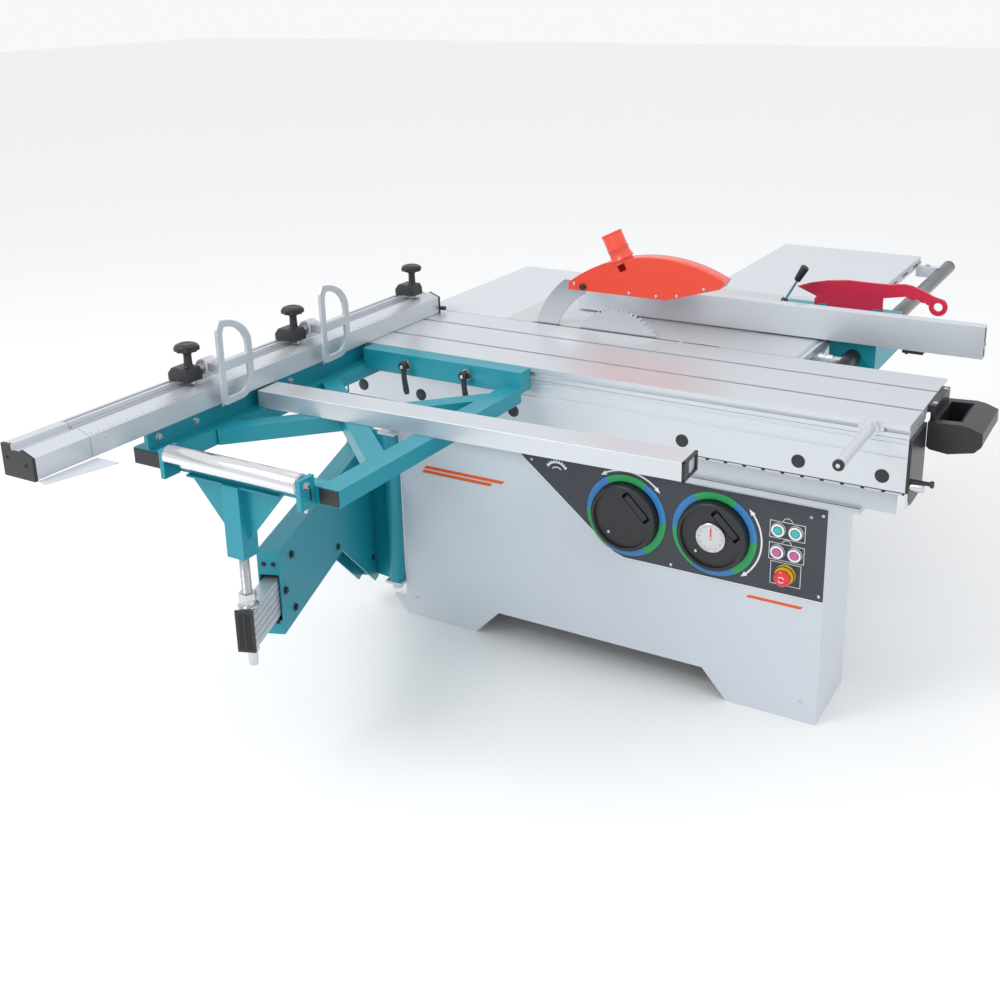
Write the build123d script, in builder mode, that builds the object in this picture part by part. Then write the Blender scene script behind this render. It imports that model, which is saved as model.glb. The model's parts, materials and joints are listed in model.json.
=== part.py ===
from build123d import *
import os
from math import atan2, cos, degrees, hypot, radians, sin

os.makedirs("parts", exist_ok=True)

# Sliding-table panel saw, millimetres.  +X runs along the sliding table towards the operator,
# +Y runs from the sliding table to the rip side, +Z is up.  The origin is on the floor at the
# centre of the four anchor holes, and the saw blade stands in the plane Y = 0.

# ---- driving dimensions -------------------------------------------------------------------
table_height = 874            # work surface above the floor
sheet = 3                     # cabinet sheet
wall = 4                      # welded tube and plate
gap = 1                       # running gap between sliding faces
shaft_fit = 0.05              # radial clearance of a shaft in its bore
joint_gap = 0.5               # gap at loose faces

# sliding table and its guide beam
table_length = 1600
beam_length = 1600
beam_x = 30                   # centre of the beam and of the table at rest
kerf_edge_y = -9              # edge of the sliding table at the kerf
sliding_width = 390
sliding_depth = 33            # full thickness, over the beam
overhang_depth = 22           # thickness over the undercut
kerf_lip = 6                  # thickness at the kerf
tslot_w = 10
tslot_depth = 12
tslot_inset = (114, 270)      # slot centres from the kerf edge
front_slot_drop = 17          # centre of the slot in the front edge, below the surface
beam_width = 148
beam_height = 130
beam_wall = 6
cap_t = 6
cap_drop = 40                 # how far the end caps reach below the beam

# cabinet
cab_top_drop = 245            # table surface to the cabinet's top plate
cab_front_y = -345
cab_front_x = (-640, 641)
cab_front_depth = 236
cab_rear_x = 520
cab_rear_y = 355
neck_x = (-440, 400)
top_plate_t = 14
top_plate_x = (-670, 728)
top_plate_front = 40
well_x = 432
arch_foot = (-393, 396)
arch_top = (-312, 324)
arch_height = 82
foot_plate_t = 6
anchor_x = 480
anchor_y = 285
anchor_r = 7
spigot_r = 60
spigot_wall = 3
spigot_length = 60
spigot_x = -300
spigot_z = 180
door_x = (-150, 430)
door_z = (150, 600)
door_lap = 15
door_knuckle = 6
knuckle_length = 60
door_pin_r = 3
hinge_plate_t = 8

# cast table, extension tables, fence rail
main_x = (-470, 433)
main_edge_y = -5
main_width = 640
top_t = 12
rib_depth = 50
rib_t = 10
land_w = 12
slot_y = 6
main_slot_x = (-378, 95)
scoring_slot_x = (105, 215)
rear_ext_x = -762
side_ext_x = (-63, 442)
side_ext_width = 757
ext_depth = 34
ext_sheet = 3
scale_w = 20
scale_t = 12
rail_r = 22.5
rail_x = 527
rail_drop = 46
rail_start_y = 20
rail_end_y = 1464
rail_bracket_y = (110, 1340)

# tilting and lifting unit
strut_foot_z = 650
segment_r = (150, 195)
segment_t = 20
segment_x = (-405, 262)
segment_gap = 2
tilt_plate_y = (182, 198)
tilt_plate_drop = (60, 300)
guide_rod_r = 14
guide_rod_x = (-250, 60)
guide_rod_y = 150
lift_block_y = (118, 176)
lift_block_drop = (120, 190)
arbor_x = -98
arbor_drop = 78
arbor_r = 15
arbor_tube_r = 38
arbor_tube_y = (22, 118)
blade_r = 150
blade_t = 3.2
flange_r = 50
flange_t = 9
nut_r = 18
pulley_r = 32
pulley_y = (120, 144)
motor_x = -98
motor_drop = 274
motor_r = 72
motor_y = (12, 105)
motor_pulley_r = 45
motor_shaft_r = 12
knife_r = (210, 278)
knife_t = 2.6
knife_angles = (112, 178)
knife_top = 1016
guard_w = 50
guard_t = 2.5
guard_base_drop = -120
port_r = 30
port_length = 80
port_x = -87
port_rise = 226
port_lean = 27
port_seat = 22                # where the hose stop stands on the port
port_stop = 2
port_stop_t = 4
scoring_x = 165
scoring_drop = 57
scoring_r = 60
scoring_t = 3.2
scoring_motor_r = 36
scoring_motor_y = (14, 176)

# control panel and hand wheels
panel_t = 2
wheel_r = 95
wheel_t = 28
wheel_z = 481
wheel_x = (98, 349)
wheel_shaft_r = 10
ring_r = (97, 116.5)
ring_t = 1.5
crank_pos = 44
crank_w = 18
crank_length = 80
crank_t = 13
crank_turn = 45               # rest position of the folded crank
crank_pin_r = 3
crank_pin_rise = 6
crank_well_depth = 26
crank_pin_depth = 12.5
dial_r = 40
button_r = 11
bezel_r = 19
bezel_t = 7
button_back = 1               # a button's back face, below the panel face
button_x = (519, 564)
button_z = (530, 470)
estop_x = 542
estop_stem_r = 10
estop_z = 411

# outrigger
frame_z = (790, 830)
left_bar_x = (-750, -660)
right_bar_x = (-215, -160)
frame_y = (-1225, -422)
end_bar_w = 36
end_bar_inset = 12
lever_pin_r = 5
brace_w = 50
brace_y = ((-1028, -545), (-602, -1021))
clamp_bar_x = (-670, -160)
clamp_bar_w = 50
clamp_bar_h = 57
riser_t = 12
riser_x = -700
post_w = 50
post_foot_z = 612
gusset_half = 135
gusset_drop = 135
gusset_t = 6
rod_x = -457
rod_y = -1205
roller_r = 24
roller_x = (-618, -240)
roller_y = -1240
roller_z = 840
roller_pin_r = 8
bar_w = 80
bar_h = 44
bar_x = (-680, 458)
bar_y = -816
bar_skew = 2.0
lever_x = (-523, -328)
lever_drop = 30

# crosscut fence
fence_x = (-776, -686)
fence_y = (-1545, -43)
fence_h = 70
fence_front_h = 49
fence_clear = 1
ext_length = 150
fence_pivot_y = -90
fence_pin_r = 6
stop_rail_inset = 13
stop_key_w = 6
stop_key_h = 8
stop_pivot_r = 8
flip_gap = 8
hub_gap = 2
hub_w = 40
stop_y = (-1052, -667, -122)
block_size = (48, 42, 34)
stop_inset = 50
knob_r = 31
knob_t = 26
stem_r = 12
stem_h = 36
paddle_w = 113
paddle_t = 8
paddle_x = -664

# swing arm
pivot_x = -668
pivot_y = -350
column_r = 25
pin_r = 10
column_z = (110, 585)
arm_w = 56
arm_z = (332, 555)
arm_low_z = 95
arm_reach = (136, 922)        # from the rod, along the arm
arm_lean = 20.5               # arm direction from -Y, in plan
tube_w = 38
tube_z = (382, 480)
tube_reach = (-26, 700)
rod_r = 10
rod_z = (330, 611.5)

# rip fence
rip_y = 181
rip_t = 34
rip_h = 89
rip_clear = 4
rip_slot_rise = 30
fence_grip_x = (262, 342)
rip_x = (-318, 878)
carriage_x = (245, 590)
carriage_y = (218, 500)
carriage_arm_h = 24
carriage_low = 84
lever_pos = (265, 395)
stick_y = 440
stick_t = 8

# handles
push_reach = (7, 135)
push_y = (-245, -45)
push_drop = (112, 38)
rod_handle_x = 742
rod_handle_r = 12.5
rod_handle_length = 262
latch_y = -385
latch_rise = 14
latch_pin_r = 4
skirt_inset = (40, 22)

# ---- derived levels -----------------------------------------------------------------------
top = table_height
front_edge_y = kerf_edge_y - sliding_width
beam_top = top - sliding_depth - gap
beam_bottom = beam_top - beam_height
latch_z = beam_bottom + latch_rise
push_x = tuple(beam_x + table_length / 2 + reach for reach in push_reach)
skirt_x = (beam_x - beam_length / 2 + skirt_inset[0], beam_x + beam_length / 2 - skirt_inset[1])
push_z = tuple(top - drop for drop in push_drop)
beam_back_y = front_edge_y + beam_width
cab_top = top - cab_top_drop
top_plate_z = cab_top + top_plate_t
neck_top = top - rib_depth
cab_split_y = cab_front_y + cab_front_depth
main_back_y = main_edge_y + main_width
side_back_y = main_back_y + side_ext_width
rail_z = top - rail_drop
arbor_z = top - arbor_drop
motor_z = top - motor_drop
scoring_z = top - scoring_drop
fence_bottom = top + fence_clear
carriage_top = top + 2 + carriage_arm_h
panel_y = cab_front_y - panel_t
frame_dz = top - 874          # the outrigger hangs from the sliding table


def save(piece, label):
    piece.part.label = label
    export_step(piece.part, f"parts/{label}.step")


def block(x, y, z, mode=Mode.ADD):
    """A box between two corners, given as (low, high) pairs."""
    with Locations(((x[0] + x[1]) / 2, (y[0] + y[1]) / 2, (z[0] + z[1]) / 2)):
        Box(x[1] - x[0], y[1] - y[0], z[1] - z[0], mode=mode)


def plan(points, z, mode=Mode.ADD):
    """A straight-sided outline in plan, between two levels."""
    with BuildSketch(Plane.XY.offset(z[0])) as face:
        Polygon(*points, align=None)
    extrude(face.sketch, amount=z[1] - z[0], mode=mode)


def round_y(x, z, r, y, mode=Mode.ADD):
    """A round bar along Y."""
    with BuildSketch(Plane(origin=(x, y[0], z), x_dir=(1, 0, 0), z_dir=(0, 1, 0))) as face:
        Circle(r)
    extrude(face.sketch, amount=y[1] - y[0], mode=mode)


def round_z(x, y, r, z, mode=Mode.ADD):
    """A round bar along Z."""
    with BuildSketch(Plane.XY.offset(z[0])) as face:
        with Locations((x, y)):
            Circle(r)
    extrude(face.sketch, amount=z[1] - z[0], mode=mode)


def round_x(y, z, r, x, mode=Mode.ADD):
    """A round bar along X."""
    with BuildSketch(Plane.YZ.offset(x[0])) as face:
        with Locations((y, z)):
            Circle(r)
    extrude(face.sketch, amount=x[1] - x[0], mode=mode)


def side_view(points, y, mode=Mode.ADD):
    """An outline in X and Z, extruded along Y."""
    with BuildSketch(Plane(origin=(0, y[0], 0), x_dir=(1, 0, 0), z_dir=(0, -1, 0))) as face:
        Polygon(*points, align=None)
    extrude(face.sketch, amount=-(y[1] - y[0]), mode=mode)


def end_view(points, x, mode=Mode.ADD):
    """An outline in Y and Z, extruded along X."""
    with BuildSketch(Plane.YZ.offset(x[0])) as face:
        Polygon(*points, align=None)
    extrude(face.sketch, amount=x[1] - x[0], mode=mode)


# ---- cabinet and what is fixed to it ------------------------------------------------------
def door_hinge():
    """Plan position of the service door's hinge."""
    return door_x[1] + door_lap, cab_rear_y + joint_gap + sheet + 4


def door_knuckles():
    """Lower ends of the two hinge knuckles."""
    low, high = door_z[0] - door_lap, door_z[1] + door_lap
    return low + 40, high - 100


def make_cabinet():
    front_x, rear_x = cab_front_x, (-cab_rear_x, cab_rear_x)
    with BuildPart() as cabinet:
        block(front_x, (cab_front_y, cab_split_y), (0, cab_top))
        block(rear_x, (cab_split_y, cab_rear_y), (0, cab_top))
        block(neck_x, (0, cab_rear_y), (cab_top, neck_top))
        block(top_plate_x, (cab_front_y - top_plate_front, cab_split_y), (cab_top, top_plate_z))
        # hollow inside, open to the feet
        inner_front = (front_x[0] + sheet, front_x[1] - sheet)
        inner_rear = (rear_x[0] + sheet, rear_x[1] - sheet)
        inner_neck = (neck_x[0] + sheet, neck_x[1] - sheet)
        low = foot_plate_t
        block(inner_front, (cab_front_y + sheet, cab_split_y - sheet), (low, cab_top - sheet), Mode.SUBTRACT)
        block(inner_rear, (cab_split_y - sheet, cab_rear_y - sheet), (low, cab_top - sheet), Mode.SUBTRACT)
        block(inner_neck, (0, cab_rear_y - sheet), (cab_top - sheet, neck_top), Mode.SUBTRACT)
        block(inner_rear, (cab_split_y - sheet - 1, cab_split_y), (low, cab_top - sheet), Mode.SUBTRACT)
        # well through which the saw unit tilts under the sliding table
        well_y = (cab_front_y + 45, 1)
        block((-well_x, well_x), well_y, (cab_top - 10, top_plate_z + 1), Mode.SUBTRACT)
        # arch under the middle, through front and back
        arch = [(arch_foot[0], -1), (arch_foot[0], 0), (arch_top[0], arch_height),
                (arch_top[1], arch_height), (arch_foot[1], 0), (arch_foot[1], -1)]
        side_view(arch, (cab_front_y - 1, cab_rear_y + 1), Mode.SUBTRACT)
        # anchor holes in the foot plates
        with Locations((0, 0, foot_plate_t / 2)):
            with GridLocations(2 * anchor_x, 2 * anchor_y, 2, 2):
                Cylinder(anchor_r, foot_plate_t * 2, mode=Mode.SUBTRACT)
        # beam supports on the top plate
        for x in (-560, 560):
            block((x - 45, x + 45), (front_edge_y + 40, beam_back_y - 20), (top_plate_z, beam_bottom))
        # rear wall: dust spigot and the door opening
        round_y(spigot_x, spigot_z, spigot_r, (cab_rear_y - sheet, cab_rear_y + spigot_length))
        round_y(spigot_x, spigot_z, spigot_r - spigot_wall,
                (cab_rear_y - 2 * sheet, cab_rear_y + spigot_length + 1), Mode.SUBTRACT)
        block(door_x, (cab_rear_y - 2 * sheet, cab_rear_y + 1), door_z, Mode.SUBTRACT)
        # wheel shaft holes in the front wall
        for x in wheel_x:
            round_y(x, wheel_z, wheel_shaft_r + shaft_fit,
                    (cab_front_y - 1, cab_front_y + sheet + 1), Mode.SUBTRACT)
        # holes behind the push buttons
        spots = [(x, z, button_r) for x in button_x for z in button_z] + [(estop_x, estop_z, estop_stem_r)]
        for x, z, r in spots:
            round_y(x, z, r + joint_gap, (cab_front_y - 1, cab_front_y + sheet + 1), Mode.SUBTRACT)
        # hinge pins of the service door
        for z0 in door_knuckles():
            hinge_x, hinge_y = door_hinge()
            round_z(hinge_x, hinge_y, door_pin_r, (z0 - 6, z0 + knuckle_length + 6))
            for z1 in (z0 - 6, z0 + knuckle_length + 1):
                block((hinge_x + 1, hinge_x + 9), (cab_rear_y - 1, hinge_y + 4), (z1, z1 + 5))
    save(cabinet, "cabinet")


def make_control_panel():
    dark = [(-233, 606), (39, 383), (62, 366), (92, 356), (641, 356), (641, 606)]
    with BuildPart() as panel:
        side_view(dark, (panel_y, cab_front_y))
        for x in wheel_x:
            round_y(x, wheel_z, ring_r[1], (panel_y - ring_t, panel_y))
            round_y(x, wheel_z, ring_r[0], (panel_y - ring_t - 1, panel_y), Mode.SUBTRACT)
            round_y(x, wheel_z, wheel_shaft_r + shaft_fit, (panel_y - 1, cab_front_y + 1), Mode.SUBTRACT)
        for x in button_x:
            for z in button_z:
                round_y(x, z, bezel_r, (panel_y - bezel_t, panel_y))
                round_y(x, z, button_r + joint_gap, (panel_y - bezel_t - 1, cab_front_y), Mode.SUBTRACT)
        round_y(estop_x, estop_z, 27, (panel_y - 12, panel_y))
        round_y(estop_x, estop_z, estop_stem_r + joint_gap, (panel_y - 13, cab_front_y), Mode.SUBTRACT)
    save(panel, "control_panel")


def make_main_table():
    y = (main_edge_y, main_back_y)
    with BuildPart() as table:
        block(main_x, y, (top - top_t, top))
        for x0 in (main_x[0], main_x[1] - rib_t):
            block((x0, x0 + rib_t), (y[0] + 60, y[1]), (top - rib_depth, top - top_t))
        block(main_x, (y[1] - rib_t, y[1]), (top - rib_depth, top - top_t))
        for x0 in (main_x[0], 300):
            block((x0, main_x[1] if x0 == 300 else -390), (y[0], y[0] + rib_t), (top - 30, top - top_t))
        # lands that sit on the neck of the cabinet
        block((neck_x[0], neck_x[0] + land_w), (60, 340), (top - rib_depth, top - top_t))
        block((neck_x[1] - land_w, neck_x[1]), (60, 340), (top - rib_depth, top - top_t))
        for slot in (main_slot_x, scoring_slot_x):
            block(slot, (y[0] - 1, slot_y), (top - top_t - 1, top + 1), Mode.SUBTRACT)
        chamfer_line = (top - top_t, top - 5)
        block((main_slot_x[0], scoring_slot_x[1]), (slot_y - 1, 24), chamfer_line, Mode.SUBTRACT)
    save(table, "main_table")


def pan(x, y):
    """A folded sheet table: a top with its edges turned down."""
    block(x, y, (top - ext_depth, top))
    inner_x = (x[0] + ext_sheet, x[1] - ext_sheet)
    inner_y = (y[0] + ext_sheet, y[1] - ext_sheet)
    block(inner_x, inner_y, (top - ext_depth - 1, top - ext_sheet), Mode.SUBTRACT)


def make_extension_tables():
    with BuildPart() as tables:
        pan((rear_ext_x, main_x[0]), (main_edge_y, main_back_y))
        pan(side_ext_x, (main_back_y, side_back_y))
    save(tables, "extension_tables")


def make_fence_scale_rail():
    x = (main_x[1], main_x[1] + scale_w)
    with BuildPart() as rail:
        block(x, (main_edge_y, main_back_y), (top - 8 - scale_t, top - 1))
        block((x[0] + 5, x[1] - 5), (main_edge_y - 1, main_back_y + 1), (top - 4, top), Mode.SUBTRACT)
    save(rail, "fence_scale_rail")


def make_guide_beam():
    x = (beam_x - beam_length / 2, beam_x + beam_length / 2)
    y = (front_edge_y, beam_back_y)
    z = (beam_bottom, beam_top)
    with BuildPart() as beam:
        block(x, y, z)
        inner_y = (y[0] + beam_wall, y[1] - beam_wall)
        block((x[0] - 1, x[1] + 1), inner_y, (z[0] + beam_wall, z[1] - beam_wall), Mode.SUBTRACT)
        # stepped front: two shallow grooves along the face
        for z0 in (z[1] - 46, z[1] - 12):
            block((x[0] - 1, x[1] + 1), (y[0] - 1, y[0] + 2), (z0, z0 + 7), Mode.SUBTRACT)
        # end caps
        for x0, x1 in ((x[0] - cap_t, x[0]), (x[1], x[1] + cap_t)):
            block((x0, x1), (y[0] + 3, y[1]), (z[0] - cap_drop, z[1] - 3))
        round_x(latch_y, latch_z, latch_pin_r + shaft_fit, (x[1] + 1, x[1] + cap_t + 1), Mode.SUBTRACT)
    save(beam, "guide_beam")


def make_skirt_plate():
    with BuildPart() as skirt:
        block(skirt_x, (-375, -371), (top_plate_z, beam_bottom - 2))
        for x in (-500, 0, 500):
            block((x - 20, x + 20), (-371, -361), (top_plate_z, beam_bottom - 2))
    save(skirt, "skirt_plate")


def make_fence_rail():
    with BuildPart() as rail:
        round_y(rail_x, rail_z, rail_r, (rail_start_y, rail_end_y))
    save(rail, "fence_rail")


def make_table_brackets():
    with BuildPart() as brackets:
        # stand-offs from the cast table's rib out to the round rail
        for y, x0 in zip(rail_bracket_y, (main_x[1], side_ext_x[1])):
            block((x0, rail_x - 4), (y - 14, y + 14), (rail_z - 14, top - 22))
            round_y(rail_x, rail_z, rail_r, (y - 20, y + 20), Mode.SUBTRACT)
        # struts from the cabinet's back up to the side table
        for x in (60, 330):
            foot = [(cab_rear_y, strut_foot_z), (cab_rear_y, strut_foot_z + 60),
                    (side_back_y - 260, top - ext_depth),
                    (side_back_y - 200, top - ext_depth), (side_back_y - 200, top - ext_depth - 12)]
            end_view(foot, (x, x + 30))
    save(brackets, "table_brackets")


def sector(radii, angles, x):
    """A ring sector about the tilt axis; angles from straight down, positive to the rip side."""
    with BuildSketch(Plane.YZ.offset(x[0])) as face:
        with Locations((0, top)):
            Circle(radii[1])
            Circle(radii[0], mode=Mode.SUBTRACT)
        reach = 3 * radii[1]
        a0, a1 = (radians(a) for a in angles)
        mid = (a0 + a1) / 2
        wedge = [(0, top)] + [(reach * sin(a), top - reach * cos(a)) for a in (a0, mid, a1)]
        Polygon(*wedge, align=None, mode=Mode.INTERSECT)
    extrude(face.sketch, amount=x[1] - x[0])


def make_trunnions():
    with BuildPart() as trunnions:
        left, right = segment_x
        outside = (left - segment_gap - segment_t, right + segment_t + segment_gap)
        for x in outside:
            outer = (x, x + segment_t)
            sector(segment_r, (22, 72), outer)
            block(outer, (150, 215), (top - 90, top - top_t))
    save(trunnions, "trunnions")


def make_hinge_brackets():
    x = (pivot_x - 30, cab_front_x[0])
    y = (pivot_y - 22, pivot_y + 60)
    with BuildPart() as brackets:
        for z in (column_z[0] - joint_gap - hinge_plate_t, column_z[1] + joint_gap):
            block(x, y, (z, z + hinge_plate_t))
        round_z(pivot_x, pivot_y, pin_r, (column_z[0] - 20, column_z[1] + 18))
        for z in (column_z[0] - 24, column_z[1] + joint_gap + hinge_plate_t):
            round_z(pivot_x, pivot_y, 16, (z, z + 12))
    save(brackets, "hinge_brackets")


def make_electric_box():
    x = (-cab_rear_x - 100, -cab_rear_x)
    with BuildPart() as box:
        block(x, (0, 260), (260, 580))
        fillet(box.edges().filter_by(Axis.Z).group_by(Axis.X)[0], 6)
        # cable gland under the box, with its bore
        round_z(x[0] + 50, 60, 13, (236, 260))
        round_z(x[0] + 50, 60, 6, (235, 275), Mode.SUBTRACT)
    save(box, "electric_box")


def make_service_door():
    x = (door_x[0] - door_lap, door_x[1] + door_lap)
    y = (cab_rear_y + joint_gap, cab_rear_y + joint_gap + sheet)
    z = (door_z[0] - door_lap, door_z[1] + door_lap)
    with BuildPart() as door:
        block(x, y, z)
        block((x[0] + 30, x[0] + 50), (y[1], y[1] + 14), (360, 420))
        hinge_x, hinge_y = door_hinge()
        for z0 in door_knuckles():
            round_z(hinge_x, hinge_y, door_knuckle, (z0, z0 + knuckle_length))
            round_z(hinge_x, hinge_y, door_pin_r + shaft_fit, (z0 - 1, z0 + knuckle_length + 1),
                    Mode.SUBTRACT)
    save(door, "service_door")


# ---- the saw unit: tilt, lift, blades, motors ---------------------------------------------
def make_tilt_frame():
    y = tilt_plate_y
    z = (top - tilt_plate_drop[1], top - tilt_plate_drop[0])
    x = (segment_x[0], segment_x[1] + segment_t)
    with BuildPart() as frame:
        block(x, y, z)
        for x0 in segment_x:
            sector(segment_r, (-10, 42), (x0, x0 + segment_t))
            block((x0, x0 + segment_t), (100, y[1]), (z[0] + 60, top - 150))
        # guide rods of the lift, held in lugs top and bottom
        for rod in guide_rod_x:
            for z0 in (z[0], z[1] - 24):
                block((rod - 24, rod + 24), (guide_rod_y - 22, y[0]), (z0, z0 + 24))
            round_z(rod, guide_rod_y, guide_rod_r, z)
        # mounting for the scoring motor
        block((scoring_x - 30, scoring_x + 30), (scoring_motor_y[1], y[0]), (scoring_z - 34, scoring_z + 10))
    save(frame, "tilt_frame")


def make_scoring_motor():
    with BuildPart() as motor:
        round_y(scoring_x, scoring_z, scoring_motor_r, scoring_motor_y)
        fillet(motor.edges().filter_by(GeomType.CIRCLE), 4)
        round_y(scoring_x, scoring_z, 9 + shaft_fit, (scoring_motor_y[0] - 1, scoring_motor_y[0] + 30),
                Mode.SUBTRACT)
    save(motor, "scoring_motor")


def make_arbor_housing():
    z = (top - lift_block_drop[1], top - lift_block_drop[0])
    plate_x = (guide_rod_x[0] - 26, guide_rod_x[1] + 26)
    with BuildPart() as housing:
        block(plate_x, lift_block_y, z)
        block((arbor_x - 45, arbor_x + 45), (motor_y[1], lift_block_y[0] + 2), (motor_z + 40, arbor_z))
        block((motor_x - 70, motor_x + 70), (motor_y[1], 118), (motor_z - 60, z[0] + 20))
        round_y(arbor_x, arbor_z, arbor_tube_r, arbor_tube_y)
        # clearance for the belt and both pulleys
        block((arbor_x - 62, arbor_x + 62), (pulley_y[0] - 1, 177), (motor_z - 62, arbor_z + 50),
              Mode.SUBTRACT)
        round_y(arbor_x, arbor_z, arbor_r + shaft_fit, (0, 178), Mode.SUBTRACT)
        round_y(motor_x, motor_z, motor_shaft_r + 2, (motor_y[1] - 1, 178), Mode.SUBTRACT)
        # bridge behind the belt that joins the two slide bearings
        block(plate_x, (lift_block_y[1] - 14, lift_block_y[1]), z)
        for rod in guide_rod_x:
            round_z(rod, guide_rod_y, guide_rod_r + shaft_fit, (z[0] - 1, z[1] + 1), Mode.SUBTRACT)
        # clamp for the riving knife
        block((arbor_x - 262, arbor_x - 20), (arbor_tube_y[0], 34), (top - 120, top - 90))
        block((arbor_x - 262, arbor_x - 222), (knife_t / 2, arbor_tube_y[0]), (top - 120, top - 50))
    save(housing, "arbor_housing")


def make_main_motor():
    with BuildPart() as motor:
        round_y(motor_x, motor_z, motor_r, motor_y)
        for k in range(12):
            angle = radians(30 * k)
            x, z = motor_x + motor_r * cos(angle), motor_z + motor_r * sin(angle)
            round_y(x, z, 3, (motor_y[0] + 20, motor_y[1] - 20))
        round_y(motor_x, motor_z, motor_shaft_r + 2, (motor_y[1] - 20, motor_y[1] + 1), Mode.SUBTRACT)
    save(motor, "main_motor")


def make_main_belt():
    inner = [(arbor_x, arbor_z, pulley_r + joint_gap), (motor_x, motor_z, motor_pulley_r + joint_gap)]
    belt_t = 6
    y = (pulley_y[0] + 4, pulley_y[1] - 4)
    with BuildPart() as belt:
        for grow, mode in ((belt_t, Mode.ADD), (0, Mode.SUBTRACT)):
            with BuildSketch(Plane(origin=(0, y[0], 0), x_dir=(1, 0, 0), z_dir=(0, -1, 0))):
                for x, z, r in inner:
                    with Locations((x, z)):
                        Circle(r + grow)
                make_hull()
            extrude(amount=-(y[1] - y[0]), mode=mode)
    save(belt, "main_belt")


def make_riving_knife():
    with BuildPart() as knife:
        with BuildSketch(Plane(origin=(0, -knife_t / 2, 0), x_dir=(1, 0, 0), z_dir=(0, -1, 0))):
            with Locations((arbor_x, arbor_z)):
                Circle(knife_r[1])
                Circle(knife_r[0], mode=Mode.SUBTRACT)
            reach = 2 * knife_r[1]
            wedge = [(arbor_x, arbor_z)]
            for a in (knife_angles[0] + 7, 140, knife_angles[1]):
                wedge.append((arbor_x + reach * cos(radians(a)), arbor_z + reach * sin(radians(a))))
            Polygon(*wedge, align=None, mode=Mode.INTERSECT)
            with Locations((arbor_x - 240, arbor_z)):
                Rectangle(36, 60)
            with Locations((arbor_x, knife_top + reach / 2)):
                Rectangle(2 * reach, reach, mode=Mode.SUBTRACT)
        extrude(amount=-knife_t)
    save(knife, "riving_knife")


def make_blade_guard():
    axis = (-sin(radians(port_lean)), 0, cos(radians(port_lean)))
    port_plane = Plane(origin=(port_x, 0, top + port_rise), x_dir=(0, 1, 0), z_dir=axis)
    half = guard_w / 2
    with BuildPart() as guard:
        for inset, width, mode in ((0, half, Mode.ADD), (guard_t, half - guard_t, Mode.SUBTRACT)):
            plane = Plane(origin=(0, width, 0), x_dir=(1, 0, 0), z_dir=(0, -1, 0))
            with BuildSketch(plane):
                with BuildLine():
                    low, x0 = top - guard_base_drop, arbor_x
                    drop = 0 if mode == Mode.ADD else -6
                    l1 = Line((x0 - 146 + inset, low + drop), (x0 + 160, low + drop))
                    l2 = Line(l1 @ 1, (x0 + 318 - inset, low + 48 + drop))
                    l3 = Line(l2 @ 1, (x0 + 331 - 2 * inset, low + 68 - inset))
                    l4 = ThreePointArc(l3 @ 1, (x0 + 100, low + 115 - inset),
                                       (x0 - 146 + inset, low + 20 - inset))
                    Line(l4 @ 1, l1 @ 0)
                make_face()
            extrude(amount=2 * width, mode=mode)
        with BuildSketch(port_plane.offset(-20)):
            Circle(port_r)
        extrude(amount=port_length + 12)
        with BuildSketch(port_plane.offset(port_seat)):
            Circle(port_r + port_stop)
        extrude(amount=port_stop_t)
        with BuildSketch(port_plane.offset(-40)):
            Circle(port_r - guard_t)
        extrude(amount=port_length + 60, mode=Mode.SUBTRACT)
        # slot for the riving knife and the bosses that clamp it
        tip_x, low = arbor_x - 146, top - guard_base_drop
        block((tip_x - 2, tip_x + 10), (-knife_t, knife_t), (low - 1, low + 30), Mode.SUBTRACT)
        for side in (-1, 1):
            boss = sorted((side * knife_t / 2, side * (half - 1)))
            round_y(tip_x + 48, low + 12, 8, boss)
    save(guard, "blade_guard")


def make_saw_blade():
    with BuildPart() as blade:
        round_y(arbor_x, arbor_z, blade_r, (-blade_t / 2, blade_t / 2))
        round_y(arbor_x, arbor_z, arbor_r, (-blade_t, blade_t), Mode.SUBTRACT)
        with BuildSketch(Plane(origin=(0, -blade_t, 0), x_dir=(1, 0, 0), z_dir=(0, -1, 0))):
            with Locations((arbor_x, arbor_z)):
                with PolarLocations(blade_r, 60):
                    Rectangle(9, 3)
        extrude(amount=-2 * blade_t, mode=Mode.SUBTRACT)
    save(blade, "saw_blade")


def make_main_spindle():
    inner = (blade_t / 2, arbor_tube_y[0] - gap)
    outer = (-blade_t / 2 - flange_t, -blade_t / 2)
    with BuildPart() as spindle:
        round_y(arbor_x, arbor_z, arbor_r, (outer[0] - 18, pulley_y[1]))
        round_y(arbor_x, arbor_z, flange_r - 12, inner)
        round_y(arbor_x, arbor_z, flange_r, outer)
        round_y(arbor_x, arbor_z, nut_r, (outer[0] - 16, outer[0]))
        round_y(arbor_x, arbor_z, pulley_r, pulley_y)
    save(spindle, "main_spindle")


def make_motor_pulley():
    with BuildPart() as pulley:
        round_y(motor_x, motor_z, motor_pulley_r, pulley_y)
        round_y(motor_x, motor_z, motor_shaft_r, (motor_y[1] - 19, pulley_y[1]))
    save(pulley, "motor_pulley")


def make_scoring_blade():
    with BuildPart() as blade:
        round_y(scoring_x, scoring_z, scoring_r, (-scoring_t / 2, scoring_t / 2))
        with BuildSketch(Plane(origin=(0, -scoring_t, 0), x_dir=(1, 0, 0), z_dir=(0, -1, 0))):
            with Locations((scoring_x, scoring_z)):
                with PolarLocations(scoring_r, 24):
                    Rectangle(7, 4)
        extrude(amount=-2 * scoring_t, mode=Mode.SUBTRACT)
        round_y(scoring_x, scoring_z, 22, (-scoring_t / 2 - 8, scoring_motor_y[0] - gap))
        round_y(scoring_x, scoring_z, 9, (0, scoring_motor_y[0] + 28))
    save(blade, "scoring_blade")


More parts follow.
